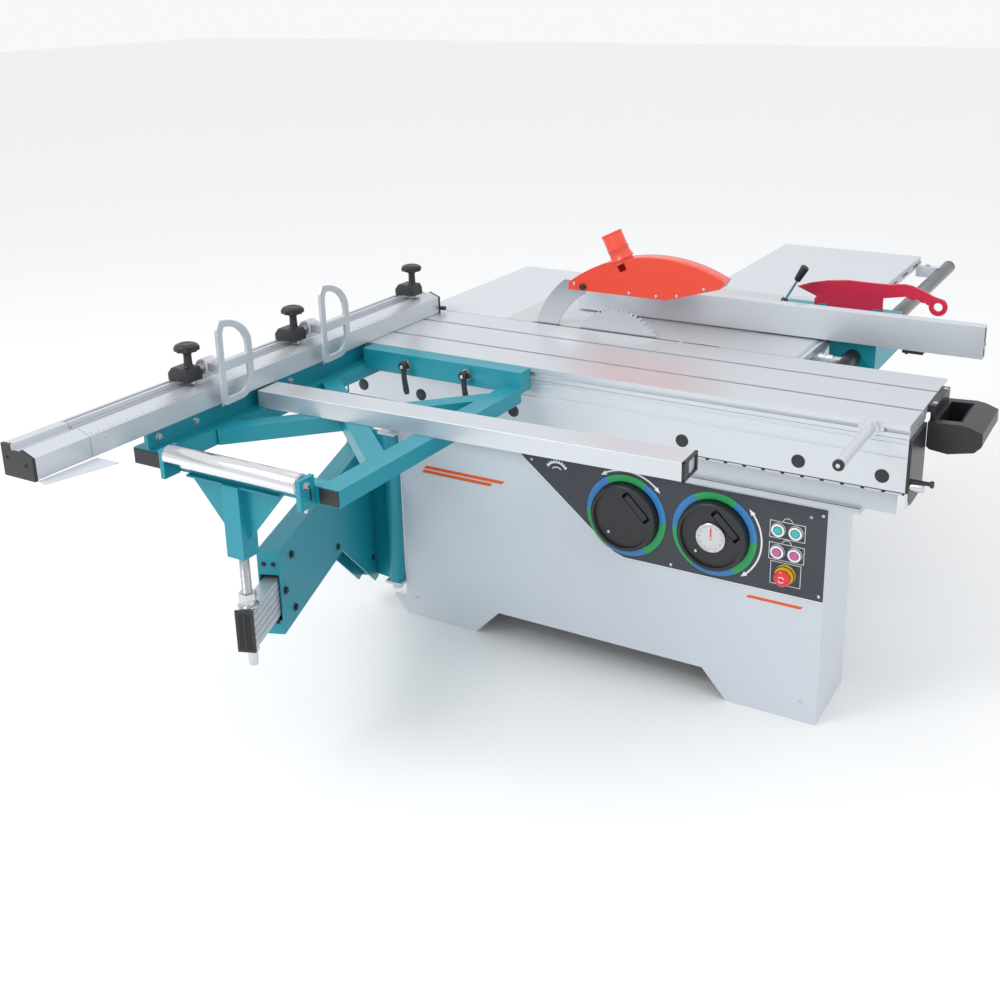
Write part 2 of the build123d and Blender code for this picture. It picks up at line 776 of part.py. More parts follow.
# ---- hand wheels and buttons --------------------------------------------------------------
def wheel_plane(x, depth):
    """Plane on a wheel, turned so that the folded crank lies up and to the right; depth from its face."""
    y = panel_y - gap - wheel_t + depth
    turn = radians(crank_turn)
    return Plane(origin=(x, y, wheel_z), x_dir=(cos(turn), 0, sin(turn)), z_dir=(0, -1, 0))


def crank_pin(x, r, half, mode):
    """A round bar across the crank, at the pin that it folds about."""
    turn = radians(crank_turn)
    u, v = crank_pos + crank_w / 2, crank_pin_rise - crank_length / 2
    centre = (x + u * cos(turn) - v * sin(turn), panel_y - gap - wheel_t + crank_pin_depth,
              wheel_z + u * sin(turn) + v * cos(turn))
    with BuildSketch(Plane(origin=centre, x_dir=(0, 1, 0), z_dir=(cos(turn), 0, sin(turn)))) as face:
        Circle(r)
    extrude(face.sketch, amount=half, both=True, mode=mode)


def make_wheel(x, label, has_dial):
    y = (panel_y - gap - wheel_t, panel_y - gap)
    with BuildPart() as wheel:
        round_y(x, wheel_z, wheel_r, y)
        fillet(wheel.edges().group_by(Axis.Y)[0], 8)
        # dish, leaving a rim
        round_y(x, wheel_z, wheel_r - 12, (y[0] - 1, y[0] + 8), Mode.SUBTRACT)
        # well for the folding crank
        with BuildSketch(wheel_plane(x, -1)):
            with Locations((crank_pos + crank_w / 2, 0)):
                Rectangle(crank_w + 6, crank_length + 16)
        extrude(amount=-crank_well_depth, mode=Mode.SUBTRACT)
        crank_pin(x, crank_pin_r, crank_w / 2 + 4, Mode.ADD)
        if has_dial:
            round_y(x, wheel_z, dial_r + joint_gap, (y[0] - 1, y[0] + 10), Mode.SUBTRACT)
            round_y(x, wheel_z, crank_pin_r + shaft_fit, (y[0], y[0] + 20), Mode.SUBTRACT)
        round_y(x, wheel_z, wheel_shaft_r, (y[1], cab_front_y + 40))
    save(wheel, label)


def make_crank(x, label):
    with BuildPart() as crank:
        with BuildSketch(wheel_plane(x, crank_pin_depth - crank_t / 2)):
            with Locations((crank_pos + crank_w / 2, 0)):
                RectangleRounded(crank_w, crank_length, 5)
        extrude(amount=-crank_t)
        crank_pin(x, crank_pin_r + shaft_fit, crank_w, Mode.SUBTRACT)
    save(crank, label)


def make_tilt_dial():
    y0 = panel_y - gap - wheel_t
    with BuildPart() as dial:
        round_y(wheel_x[1], wheel_z, dial_r, (y0 + 2, y0 + 9.5))
        round_y(wheel_x[1], wheel_z, crank_pin_r, (y0 + 9.5, y0 + 18))
    save(dial, "tilt_dial")


def make_buttons():
    names = {(0, 0): "start_button", (1, 0): "scoring_start_button",
             (0, 1): "stop_button", (1, 1): "scoring_stop_button"}
    for (i, j), label in names.items():
        with BuildPart() as button:
            round_y(button_x[i], button_z[j], button_r, (panel_y - bezel_t - 3, panel_y - button_back))
            fillet(button.edges().group_by(Axis.Y)[0], 1.5)
        save(button, label)
    with BuildPart() as estop:
        round_y(estop_x, estop_z, estop_stem_r, (panel_y - 22, panel_y))
        round_y(estop_x, estop_z, 21, (panel_y - 34, panel_y - 19))
        fillet(estop.edges().group_by(Axis.Y)[0], 5)
    save(estop, "emergency_stop")


# ---- sliding table and the outrigger ------------------------------------------------------
def make_sliding_table():
    x = (beam_x - table_length / 2, beam_x + table_length / 2)
    y0, y1 = front_edge_y, kerf_edge_y
    thick = beam_back_y + 15
    profile = [(y0, top), (y1, top), (y1, top - kerf_lip), (y1 - 57, top - kerf_lip),
               (y1 - 71, top - overhang_depth), (thick, top - overhang_depth),
               (thick, top - sliding_depth), (y0, top - sliding_depth)]
    with BuildPart() as table:
        end_view(profile, x)
        for inset in tslot_inset:
            y = y1 - inset
            block((x[0] - 1, x[1] + 1), (y - tslot_w / 2, y + tslot_w / 2), (top - tslot_depth, top + 1),
                  Mode.SUBTRACT)
        slot_z = top - front_slot_drop
        block((x[0] - 1, x[1] + 1), (y0 - 1, y0 + 9), (slot_z - 5, slot_z + 5), Mode.SUBTRACT)
        # hole for the crosscut fence's pivot pin
        round_z((fence_x[0] + fence_x[1]) / 2, fence_pivot_y, fence_pin_r + shaft_fit,
                (top - 16, top + 1), Mode.SUBTRACT)
    save(table, "sliding_table")


def make_push_handle():
    x, y, z = push_x, push_y, push_z
    side = [(x[0], z[0] + 8), (x[0] + 50, z[0]), (x[1] - 20, z[0] + 14), (x[1], z[0] + 34),
            (x[1], z[1] - 12), (x[1] - 34, z[1]), (x[0], z[1])]
    with BuildPart() as handle:
        side_view(side, y)
        # tray under the grip bar
        block((x[0] + 20, x[0] + 74), (y[0] + 24, y[1] - 24), (z[0] + 22, z[1] + 1), Mode.SUBTRACT)
        # bracket on the end of the sliding table
        table_end = beam_x + table_length / 2
        block((x[0], x[0] + 12), (y[0] + 20, y[1] - 20), (z[1] - 1, top - 2))
        block((table_end, x[0]), (y[0] + 20, y[1] - 20), (top - overhang_depth + 2, top - 2))
    save(handle, "push_handle")


def make_rod_handle():
    z = top - front_slot_drop
    with BuildPart() as handle:
        round_y(rod_handle_x, z, rod_handle_r, (front_edge_y - rod_handle_length, front_edge_y - 6))
        round_y(rod_handle_x, z, 19, (front_edge_y - 6, front_edge_y))
        block((rod_handle_x - 30, rod_handle_x + 30), (front_edge_y, front_edge_y + 7), (z - 5, z + 5))
    save(handle, "rod_handle")


def make_outrigger_frame():
    z = (frame_z[0] + frame_dz, frame_z[1] + frame_dz)
    lx, rx = left_bar_x, right_bar_x
    y0, y1 = frame_y
    clamp_y = (front_edge_y - clamp_bar_w, front_edge_y)
    with BuildPart() as frame:
        block(lx, (y0, clamp_y[1] - 1), z)
        block(rx, (y0 + end_bar_inset, clamp_y[0]), z)
        block((lx[0], rx[1]), (y0 + end_bar_inset, y0 + end_bar_inset + end_bar_w), z)
        # crossed braces
        for y_left, y_right in brace_y:
            start, stop = (lx[1] - 10, y_left), (rx[0] + 10, y_right)
            length = hypot(stop[0] - start[0], stop[1] - start[1])
            angle = degrees(atan2(stop[1] - start[1], stop[0] - start[0]))
            with BuildSketch(Plane.XY.offset(z[0])):
                with Locations(Location(((start[0] + stop[0]) / 2, (start[1] + stop[1]) / 2), angle)):
                    Rectangle(length + 10, brace_w)
            extrude(amount=z[1] - z[0])
        # clamp bar along the edge of the sliding table
        block(clamp_bar_x, clamp_y, (top - 2 - clamp_bar_h, top - 2))
        block((lx[0], clamp_bar_x[0]), clamp_y, (z[0], z[1]))
        # riser that carries the crosscut fence
        block((riser_x - riser_t, riser_x), (y0, clamp_y[1] - 1), (z[1], top - 1))
        block((lx[0], riser_x), (y0 + 300, y0 + 420), (top - 9, top - 1))
        for x in lever_x:
            round_y(x, top - lever_drop, lever_pin_r + shaft_fit, (clamp_y[0] - 1, clamp_y[0] + 24),
                    Mode.SUBTRACT)
        # ears that hold the roller
        for x0, x1 in ((roller_x[0] - 14, roller_x[0] - 2), (roller_x[1] + 2, roller_x[1] + 14)):
            block((x0, x1), (roller_y - 20, y0 + end_bar_inset + 1), (z[0] - 4, roller_z + frame_dz + 16))
            with BuildSketch(Plane.YZ.offset(x0 - 1)):
                with Locations((roller_y, roller_z + frame_dz)):
                    Circle(roller_pin_r + shaft_fit)
            extrude(amount=x1 - x0 + 2, mode=Mode.SUBTRACT)
    save(frame, "outrigger_frame")


def make_outrigger_post():
    z0, z1 = post_foot_z + frame_dz, frame_z[0] + frame_dz
    half = post_w / 2
    y = (rod_y - half, rod_y + half)
    with BuildPart() as post:
        block((rod_x - half, rod_x + half), y, (z0, z1))
        gusset = [(rod_x - gusset_half, z1), (rod_x + gusset_half, z1), (rod_x + gusset_half, z1 - 6),
                  (rod_x + half, z1 - gusset_drop), (rod_x - half, z1 - gusset_drop),
                  (rod_x - gusset_half, z1 - 6)]
        side_view(gusset, (rod_y - gusset_t / 2, rod_y + gusset_t / 2))
        block((rod_x - gusset_half, rod_x + gusset_half), (y[0] + 6, y[1] - 14), (z1 - 5, z1))
    save(post, "outrigger_post")


def make_support_bar():
    z = (frame_z[1] + frame_dz, frame_z[1] + frame_dz + bar_h)
    length = (bar_x[1] - bar_x[0]) / cos(radians(bar_skew))
    centre = ((bar_x[0] + bar_x[1]) / 2, bar_y)
    with BuildPart() as bar:
        with BuildSketch(Plane.XY.offset(z[0])):
            with Locations(Location(centre, bar_skew)):
                Rectangle(length, bar_w)
        extrude(amount=z[1] - z[0] - joint_gap)
    save(bar, "support_bar")


def make_roller():
    with BuildPart() as roller:
        z = roller_z + frame_dz
        for x, r in ((roller_x, roller_r), ((roller_x[0] - 13, roller_x[1] + 13), roller_pin_r)):
            with BuildSketch(Plane.YZ.offset(x[0])):
                with Locations((roller_y, z)):
                    Circle(r)
            extrude(amount=x[1] - x[0])
    save(roller, "roller")


def make_clamp_levers():
    face = front_edge_y - clamp_bar_w
    z = top - lever_drop
    for k, x in enumerate(lever_x):
        with BuildPart() as lever:
            round_y(x, z, 10, (face - 26, face - joint_gap))
            round_y(x, z, 13, (face - 4, face - joint_gap))
            round_y(x, z, lever_pin_r, (face - joint_gap, face + 20))
            grip = [(x - 8, z + 6), (x + 8, z + 6), (x + 6, z - 62), (x - 6, z - 62)]
            side_view(grip, (face - 36, face - 22))
        save(lever, f"clamp_lever_{k + 1}")


# ---- crosscut fence -----------------------------------------------------------------------
def fence_profile(scale):
    """The fence section in X and Z: a low front edge that rises to a ridge and a back rail."""
    x0, x1 = fence_x
    z0, h = fence_bottom, fence_h
    points = [(x0, z0), (x1, z0), (x1, z0 + fence_front_h), (x1 - 34, z0 + h - 8),
              (x1 - 36, z0 + h - 14), (x1 - 62, z0 + h - 14), (x1 - 64, z0 + h), (x0, z0 + h)]
    cx, cz = (x0 + x1) / 2, z0 + h / 2
    return [(cx + (x - cx) * scale, cz + (z - cz) * scale) for x, z in points]


def make_crosscut_fence():
    y = (fence_y[0] + ext_length + joint_gap, fence_y[1])
    with BuildPart() as fence:
        side_view(fence_profile(1), y)
        # bore that the extension telescopes in
        inner_x = (fence_x[0] + 12, fence_x[1] - 12)
        block(inner_x, (y[0] - 1, y[1] - 70), (fence_bottom + 8, fence_bottom + 38), Mode.SUBTRACT)
        # keyway for the stops, along the back rail
        key_x = fence_x[0] + stop_rail_inset
        half, deep = stop_key_w / 2 + gap, fence_bottom + fence_h - stop_key_h - gap
        block((key_x - half, key_x + half), (y[0] - 1, y[1] + 1), (deep, fence_bottom + fence_h + 1),
              Mode.SUBTRACT)
        # pivot pin into the sliding table
        round_z((fence_x[0] + fence_x[1]) / 2, fence_pivot_y, fence_pin_r, (top - 14, fence_bottom + 8))
    save(fence, "crosscut_fence")


def make_fence_extension():
    y = (fence_y[0], fence_y[0] + ext_length)
    with BuildPart() as extension:
        side_view(fence_profile(1), y)
        inner_x = (fence_x[0] + 12 + gap, fence_x[1] - 12 - gap)
        block(inner_x, (y[1], y[1] + 720), (fence_bottom + 8 + gap, fence_bottom + 38 - gap))
    save(extension, "fence_extension")


def make_stops():
    w, d, h = block_size
    x = fence_x[0] + stop_inset
    key_x = fence_x[0] + stop_rail_inset
    z0 = fence_bottom + fence_h + gap
    for k, y in enumerate(stop_y):
        with BuildPart() as carrier:
            block((key_x - d / 4, x + d / 2), (y - w / 2, y + w / 2), (z0, z0 + h))
            fillet(carrier.edges().group_by(Axis.Z)[-1], 6)
            block((key_x - stop_key_w / 2, key_x + stop_key_w / 2), (y - w / 2, y + w / 2),
                  (z0 - stop_key_h, z0))
            round_z(x, y, stem_r + 2, (z0 + h - 1, z0 + h + 3))
            round_z(x, y, 6 + shaft_fit, (z0 + 4, z0 + h + 4), Mode.SUBTRACT)
            if k < 2:
                round_y(x + 6, z0 + 24, stop_pivot_r, (y + w / 2, y + w / 2 + flip_gap + hub_gap + hub_w + 12))
        save(carrier, f"stop_block_{k + 1}")
        with BuildPart() as knob:
            round_z(x, y, 6, (z0 + 5, z0 + h + 4))
            round_z(x, y, stem_r, (z0 + h + 4, z0 + h + 4 + stem_h))
            round_z(x, y, knob_r, (z0 + h + 4 + stem_h - 8, z0 + h - 4 + stem_h + knob_t))
            fillet(knob.edges().group_by(Axis.Z)[-1], 8)
        save(knob, f"stop_knob_{k + 1}")
        if k < 2:
            make_flip_stop(k, x, y + w / 2 + flip_gap, z0)


def make_flip_stop(k, hub_x, y0, z0):
    low = top + 6
    high = top + 214
    y1 = y0 + paddle_w
    face = Plane(origin=(paddle_x, 0, 0), x_dir=(0, 1, 0), z_dir=(1, 0, 0))
    with BuildPart() as paddle:
        with BuildSketch(face):
            with BuildLine():
                a = Line((y0, high), (y0, low))
                b = ThreePointArc(a @ 1, (y1 - 22, low + 22), (y1, low + 62))
                c = Line(b @ 1, (y1, high - 70))
                d = ThreePointArc(c @ 1, (y1 - 44, high - 22), (y0, high))
            make_face()
            for zc, hh in ((high - 66, 74), (low + 47, 62)):
                with Locations((y0 + 50, zc)):
                    RectangleRounded(44, hh, 8, mode=Mode.SUBTRACT)
        extrude(amount=paddle_t)
        # arm back over the fence to the hub
        hub_y = (y0 + hub_gap, y0 + hub_gap + hub_w)
        block((hub_x - 14, paddle_x), hub_y, (z0 + 12, z0 + 40))
        round_y(hub_x + 6, z0 + 24, 20, hub_y)
        round_y(hub_x + 6, z0 + 24, stop_pivot_r + shaft_fit, (y0 - 1, y0 + 60), Mode.SUBTRACT)
    save(paddle, f"flip_stop_{k + 1}")


# ---- swing arm under the outrigger --------------------------------------------------------
def arm_side(offset):
    """Upright plane beside the arm: X along the arm, Y up."""
    lean = radians(arm_lean)
    along = Vector(-sin(lean), cos(lean), 0)
    across = Vector(cos(lean), sin(lean), 0)
    return Plane(origin=Vector(rod_x, rod_y, 0) + across * offset, x_dir=along, z_dir=across)


def make_swing_arm():
    s0, s1 = arm_reach
    outline = [(s0, arm_z[0]), (602, arm_z[0]), (885, arm_low_z), (s1, arm_low_z), (s1, column_z[1]),
               (885, column_z[1]), (860, arm_z[1]), (s0, arm_z[1])]
    hollow = [(s0 + wall, arm_z[0] + wall), (600, arm_z[0] + wall), (600, arm_z[0] - 20),
              (880, arm_low_z - 20),
              (s1 - wall, arm_low_z - 20), (s1 - wall, arm_z[1] - wall), (s0 + wall, arm_z[1] - wall)]
    half = arm_w / 2
    with BuildPart() as arm:
        with BuildSketch(arm_side(-half)):
            Polygon(*outline, align=None)
        extrude(amount=arm_w)
        with BuildSketch(arm_side(-half + wall)):
            Polygon(*hollow, align=None)
        extrude(amount=arm_w - 2 * wall, mode=Mode.SUBTRACT)
        with BuildSketch(arm_side(-half + wall)):
            with Locations((s0, (tube_z[0] + tube_z[1]) / 2)):
                Rectangle(3 * wall, tube_z[1] - tube_z[0] + 24)
        extrude(amount=arm_w - 2 * wall, mode=Mode.SUBTRACT)
        # rollers above and below the telescoping tube
        for s, z in [(s, z) for s in (215, 560) for z in (tube_z[1] + 15, tube_z[0] - 15)]:
            with BuildSketch(arm_side(-half)):
                with Locations((s, z)):
                    Circle(14)
            extrude(amount=arm_w)
        # web plate from the arm to the hinge tube
        with BuildSketch(Plane.XY.offset(column_z[0])):
            lean = radians(arm_lean)
            fold = Vector(rod_x, rod_y, 0) + Vector(-sin(lean), cos(lean), 0) * (s1 - 8) \
                + Vector(cos(lean), sin(lean), 0) * (half - 6)
            Polygon((fold.X, fold.Y - 4), (pivot_x, pivot_y - 6), (pivot_x, pivot_y + 6),
                    (fold.X, fold.Y + 6), align=None)
        extrude(amount=column_z[1] - column_z[0])
        round_z(pivot_x, pivot_y, column_r, column_z)
        round_z(pivot_x, pivot_y, pin_r + shaft_fit, (column_z[0] - 1, column_z[1] + 1), Mode.SUBTRACT)
    save(arm, "swing_arm")


def make_arm_extension():
    s0, s1 = tube_reach
    half = tube_w / 2
    with BuildPart() as tube:
        with BuildSketch(arm_side(-half)):
            with Locations(((s0 + s1) / 2, (tube_z[0] + tube_z[1]) / 2)):
                Rectangle(s1 - s0, tube_z[1] - tube_z[0])
        extrude(amount=tube_w)
        with BuildSketch(arm_side(-half + 5)):
            with Locations(((s0 + s1) / 2 + 40, (tube_z[0] + tube_z[1]) / 2)):
                Rectangle(s1 - s0 - 60, tube_z[1] - tube_z[0] - 10)
        extrude(amount=tube_w - 10, mode=Mode.SUBTRACT)
        round_z(rod_x, rod_y, rod_r, (rod_z[0], post_foot_z + frame_dz - joint_gap))
        for z in (tube_z[1], tube_z[0] - 10):
            round_z(rod_x, rod_y, 16, (z, z + 10))
    save(tube, "arm_extension")


# ---- rip fence ----------------------------------------------------------------------------
def make_rip_carriage():
    x, y = carriage_x, carriage_y
    low = rail_z - carriage_low / 2
    arm_z0 = top + 2
    with BuildPart() as carriage:
        block(x, y, (arm_z0, carriage_top))
        right = (main_x[1] + scale_w + 6, x[1])
        block(right, y, (low, arm_z0))
        round_y(rail_x, rail_z, rail_r + shaft_fit, (y[0] - 1, y[1] + 1), Mode.SUBTRACT)
        # holder lugs either side of the push stick
        for x0 in (360, 520):
            for y0 in (stick_y - stick_t / 2 - 9, stick_y + stick_t / 2 + 1):
                block((x0, x0 + 26), (y0, y0 + 8), (carriage_top, carriage_top + 14))
        # boss under the lever
        round_z(lever_pos[0], lever_pos[1], 16, (carriage_top, carriage_top + 8))
        round_z(lever_pos[0], lever_pos[1], lever_pin_r + shaft_fit, (carriage_top - 12, carriage_top + 9),
                Mode.SUBTRACT)
        # upright and key that hold the rip fence by its slot
        slot_z = top + rip_clear + rip_slot_rise
        block(fence_grip_x, (y[0], y[0] + 10), (arm_z0, slot_z + 14))
        block(fence_grip_x, (rip_y + rip_t - 7, y[0] + 1), (slot_z + gap, slot_z + 10 - gap))
    save(carriage, "rip_carriage")


def make_rip_fence():
    z = (top + rip_clear, top + rip_clear + rip_h)
    y = (rip_y, rip_y + rip_t)
    with BuildPart() as fence:
        block(rip_x, y, z)
        # hollow section, and a T-slot in the back face
        block((rip_x[0] + 4, rip_x[1] + 1), (y[0] + 4, y[1] - 12), (z[0] + 4, z[1] - 4), Mode.SUBTRACT)
        slot_z = z[0] + rip_slot_rise
        block((rip_x[0] - 1, rip_x[1] + 1), (y[1] - 8, y[1] + 1), (slot_z, slot_z + 10), Mode.SUBTRACT)
    save(fence, "rip_fence")


def make_rip_lever():
    x, y = lever_pos
    z = carriage_top + 8
    with BuildPart() as lever:
        with Locations((x, y, z + 13)):
            Sphere(12)
        round_z(x, y, lever_pin_r, (z - 16, z + 5))
        lean = Plane(origin=(x, y, z + 13), x_dir=(0, 1, 0), z_dir=(sin(radians(29)), 0, cos(radians(29))))
        with BuildSketch(lean):
            Circle(5)
        extrude(amount=80)
        with BuildSketch(lean.offset(72)):
            Circle(12.5)
        extrude(amount=52, taper=-1)
    save(lever, "rip_lever")


def make_push_stick():
    z0 = carriage_top + joint_gap
    y = (stick_y - stick_t / 2, stick_y + stick_t / 2)
    body = [(345, z0 + 4), (345, z0 + 28), (288, z0 + 52), (330, z0 + 70), (440, z0 + 86), (606, z0 + 84),
            (640, z0 + 76), (700, z0 + 66), (724, z0 + 48), (690, z0 + 26), (660, z0 + 50),
            (606, z0 + 58), (545, z0 + 56), (545, z0)]
    with BuildPart() as stick:
        side_view(body, y)
        round_y(708, z0 + 36, 24, y)
        round_y(708, z0 + 36, 13, (y[0] - 1, y[1] + 1), Mode.SUBTRACT)
    save(stick, "push_stick")


def make_beam_latch():
    x0 = beam_x + beam_length / 2 + cap_t
    with BuildPart() as latch:
        with BuildSketch(Plane.YZ.offset(x0 + joint_gap)):
            with Locations((latch_y, latch_z)):
                Circle(11)
        extrude(amount=34)
        round_x(latch_y, latch_z, latch_pin_r, (x0 - 4, x0 + joint_gap))
        block((x0 + joint_gap, x0 + 48), (latch_y - 6, latch_y + 6), (latch_z + 10, latch_z + 17))
    save(latch, "beam_latch")


make_cabinet()
make_control_panel()
make_main_table()
make_extension_tables()
make_fence_scale_rail()
make_guide_beam()
make_skirt_plate()
make_fence_rail()
make_table_brackets()
make_trunnions()
make_hinge_brackets()
make_electric_box()
make_service_door()
make_tilt_frame()
make_scoring_motor()
make_arbor_housing()
make_main_motor()
make_main_belt()
make_riving_knife()
make_blade_guard()
make_saw_blade()
make_main_spindle()
make_motor_pulley()
make_scoring_blade()
make_wheel(wheel_x[0], "lift_wheel", False)
make_crank(wheel_x[0], "lift_crank")
make_wheel(wheel_x[1], "tilt_wheel", True)
make_crank(wheel_x[1], "tilt_crank")
make_tilt_dial()
make_buttons()
make_sliding_table()
make_push_handle()
make_rod_handle()
make_outrigger_frame()
make_outrigger_post()
make_support_bar()
make_roller()
make_clamp_levers()
make_crosscut_fence()
make_fence_extension()
make_stops()
make_swing_arm()
make_arm_extension()
make_rip_carriage()
make_rip_fence()
make_rip_lever()
make_push_stick()
make_beam_latch()
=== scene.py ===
import bpy
import bmesh
import json
from math import cos, pi, radians, sin
from mathutils import Matrix, Vector


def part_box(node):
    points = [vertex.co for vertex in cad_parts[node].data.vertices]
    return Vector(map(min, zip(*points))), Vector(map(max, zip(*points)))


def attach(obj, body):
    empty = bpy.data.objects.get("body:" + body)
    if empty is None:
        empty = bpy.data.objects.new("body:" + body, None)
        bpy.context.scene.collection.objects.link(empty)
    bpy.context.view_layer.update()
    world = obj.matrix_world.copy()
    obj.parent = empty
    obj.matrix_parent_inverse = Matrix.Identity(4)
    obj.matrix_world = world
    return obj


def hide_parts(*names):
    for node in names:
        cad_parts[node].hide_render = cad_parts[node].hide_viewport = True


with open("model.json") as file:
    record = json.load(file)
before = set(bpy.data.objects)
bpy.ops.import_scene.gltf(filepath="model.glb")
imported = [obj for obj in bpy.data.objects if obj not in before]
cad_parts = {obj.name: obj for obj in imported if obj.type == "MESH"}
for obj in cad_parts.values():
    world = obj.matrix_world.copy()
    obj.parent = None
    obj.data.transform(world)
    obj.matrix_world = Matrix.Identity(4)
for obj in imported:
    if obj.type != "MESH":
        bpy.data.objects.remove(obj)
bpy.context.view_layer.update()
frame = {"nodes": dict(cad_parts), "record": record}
nodes = frame["nodes"]
MM = 0.001


# ---- camera -------------------------------------------------------------------------------
cam_data = bpy.data.cameras.new("camera")
cam_data.lens = 44.496
cam_data.sensor_width = 36.0
cam_data.shift_x = -0.0393
cam_data.shift_y = -0.1235
cam_data.clip_end = 60
camera = bpy.data.objects.new("camera", cam_data)
bpy.context.scene.collection.objects.link(camera)
turn = Matrix.Rotation(0.5159, 3, "Z") @ Matrix.Rotation(-0.3133, 3, "X") @ Matrix.Rotation(0.0149, 3, "Y")
right, ahead, up = (turn.col[i] for i in range(3))
pose = Matrix((right, up, -ahead)).transposed().to_4x4()
pose.translation = Vector((1.39442, -3.09244, 1.85555))
camera.matrix_world = pose
bpy.context.scene.camera = camera


# ---- materials ----------------------------------------------------------------------------
def material(name, color, rough, metal=0.0, grain=(60, 60, 60), bump=0.1, vary=0.04, rough_vary=0.08,
             coat=0.0, edge_highlight=0.0, fine=900, fine_bump=0.0):
    """A surface with its own colour drift, roughness drift and grain, in the object's own space."""
    m = bpy.data.materials.new(name)
    m.use_nodes = True
    nt = m.node_tree
    bsdf = nt.nodes["Principled BSDF"]
    new, link = nt.nodes.new, nt.links.new
    coord = new("ShaderNodeTexCoord")
    stretch = new("ShaderNodeMapping")
    stretch.inputs["Scale"].default_value = grain
    link(coord.outputs["Object"], stretch.inputs["Vector"])
    noise = new("ShaderNodeTexNoise")
    noise.inputs["Scale"].default_value = 1.0
    noise.inputs["Detail"].default_value = 6
    link(stretch.outputs["Vector"], noise.inputs["Vector"])
    broad = new("ShaderNodeTexNoise")
    broad.inputs["Scale"].default_value = 3.5
    broad.inputs["Detail"].default_value = 3
    link(coord.outputs["Object"], broad.inputs["Vector"])
    ramp = new("ShaderNodeMix")
    ramp.data_type = "RGBA"
    ramp.inputs[6].default_value = (*[c * (1 - vary) for c in color], 1)
    ramp.inputs[7].default_value = (*[min(1, c * (1 + vary)) for c in color], 1)
    both = new("ShaderNodeMath")
    both.operation = "MULTIPLY_ADD"
    both.inputs[1].default_value = 0.5
    link(noise.outputs["Fac"], both.inputs[0])
    half = new("ShaderNodeMath")
    half.operation = "MULTIPLY"
    half.inputs[1].default_value = 0.5
    link(broad.outputs["Fac"], half.inputs[0])
    link(half.outputs[0], both.inputs[2])
    link(both.outputs[0], ramp.inputs[0])
    out_color = ramp.outputs[2]
    # painted highlight: convex edges, found by pointiness, blend towards a lighter tone of the same colour,
    # as if light caught them
    if edge_highlight:
        geo = new("ShaderNodeNewGeometry")
        edge = new("ShaderNodeMapRange")
        edge.inputs["From Min"].default_value = 0.53
        edge.inputs["From Max"].default_value = 0.62
        edge.inputs["To Max"].default_value = edge_highlight
        link(geo.outputs["Pointiness"], edge.inputs["Value"])
        edge_highlight_mix = new("ShaderNodeMix")
        edge_highlight_mix.data_type = "RGBA"
        edge_highlight_mix.inputs[7].default_value = (*[min(1, c * 1.5 + 0.06) for c in color], 1)
        link(edge.outputs["Result"], edge_highlight_mix.inputs[0])
        link(out_color, edge_highlight_mix.inputs[6])
        out_color = edge_highlight_mix.outputs[2]
    link(out_color, bsdf.inputs["Base Color"])
    shine = new("ShaderNodeMapRange")
    shine.inputs["To Min"].default_value = max(0.02, rough - rough_vary)
    shine.inputs["To Max"].default_value = min(1, rough + rough_vary)
    link(both.outputs[0], shine.inputs["Value"])
    link(shine.outputs["Result"], bsdf.inputs["Roughness"])
    relief = new("ShaderNodeBump")
    relief.inputs["Strength"].default_value = bump
    relief.inputs["Distance"].default_value = 0.0004
    link(noise.outputs["Fac"], relief.inputs["Height"])
    if fine_bump:
        grit = new("ShaderNodeTexNoise")
        grit.inputs["Scale"].default_value = fine
        link(coord.outputs["Object"], grit.inputs["Vector"])
        second = new("ShaderNodeBump")
        second.inputs["Strength"].default_value = fine_bump
        second.inputs["Distance"].default_value = 0.0003
        link(grit.outputs["Fac"], second.inputs["Height"])
        link(relief.outputs["Normal"], second.inputs["Normal"])
        link(second.outputs["Normal"], bsdf.inputs["Normal"])
    else:
        link(relief.outputs["Normal"], bsdf.inputs["Normal"])
    bsdf.inputs["Metallic"].default_value = metal
    bsdf.inputs["Coat Weight"].default_value = coat
    bsdf.inputs["Coat Roughness"].default_value = 0.15
    return m


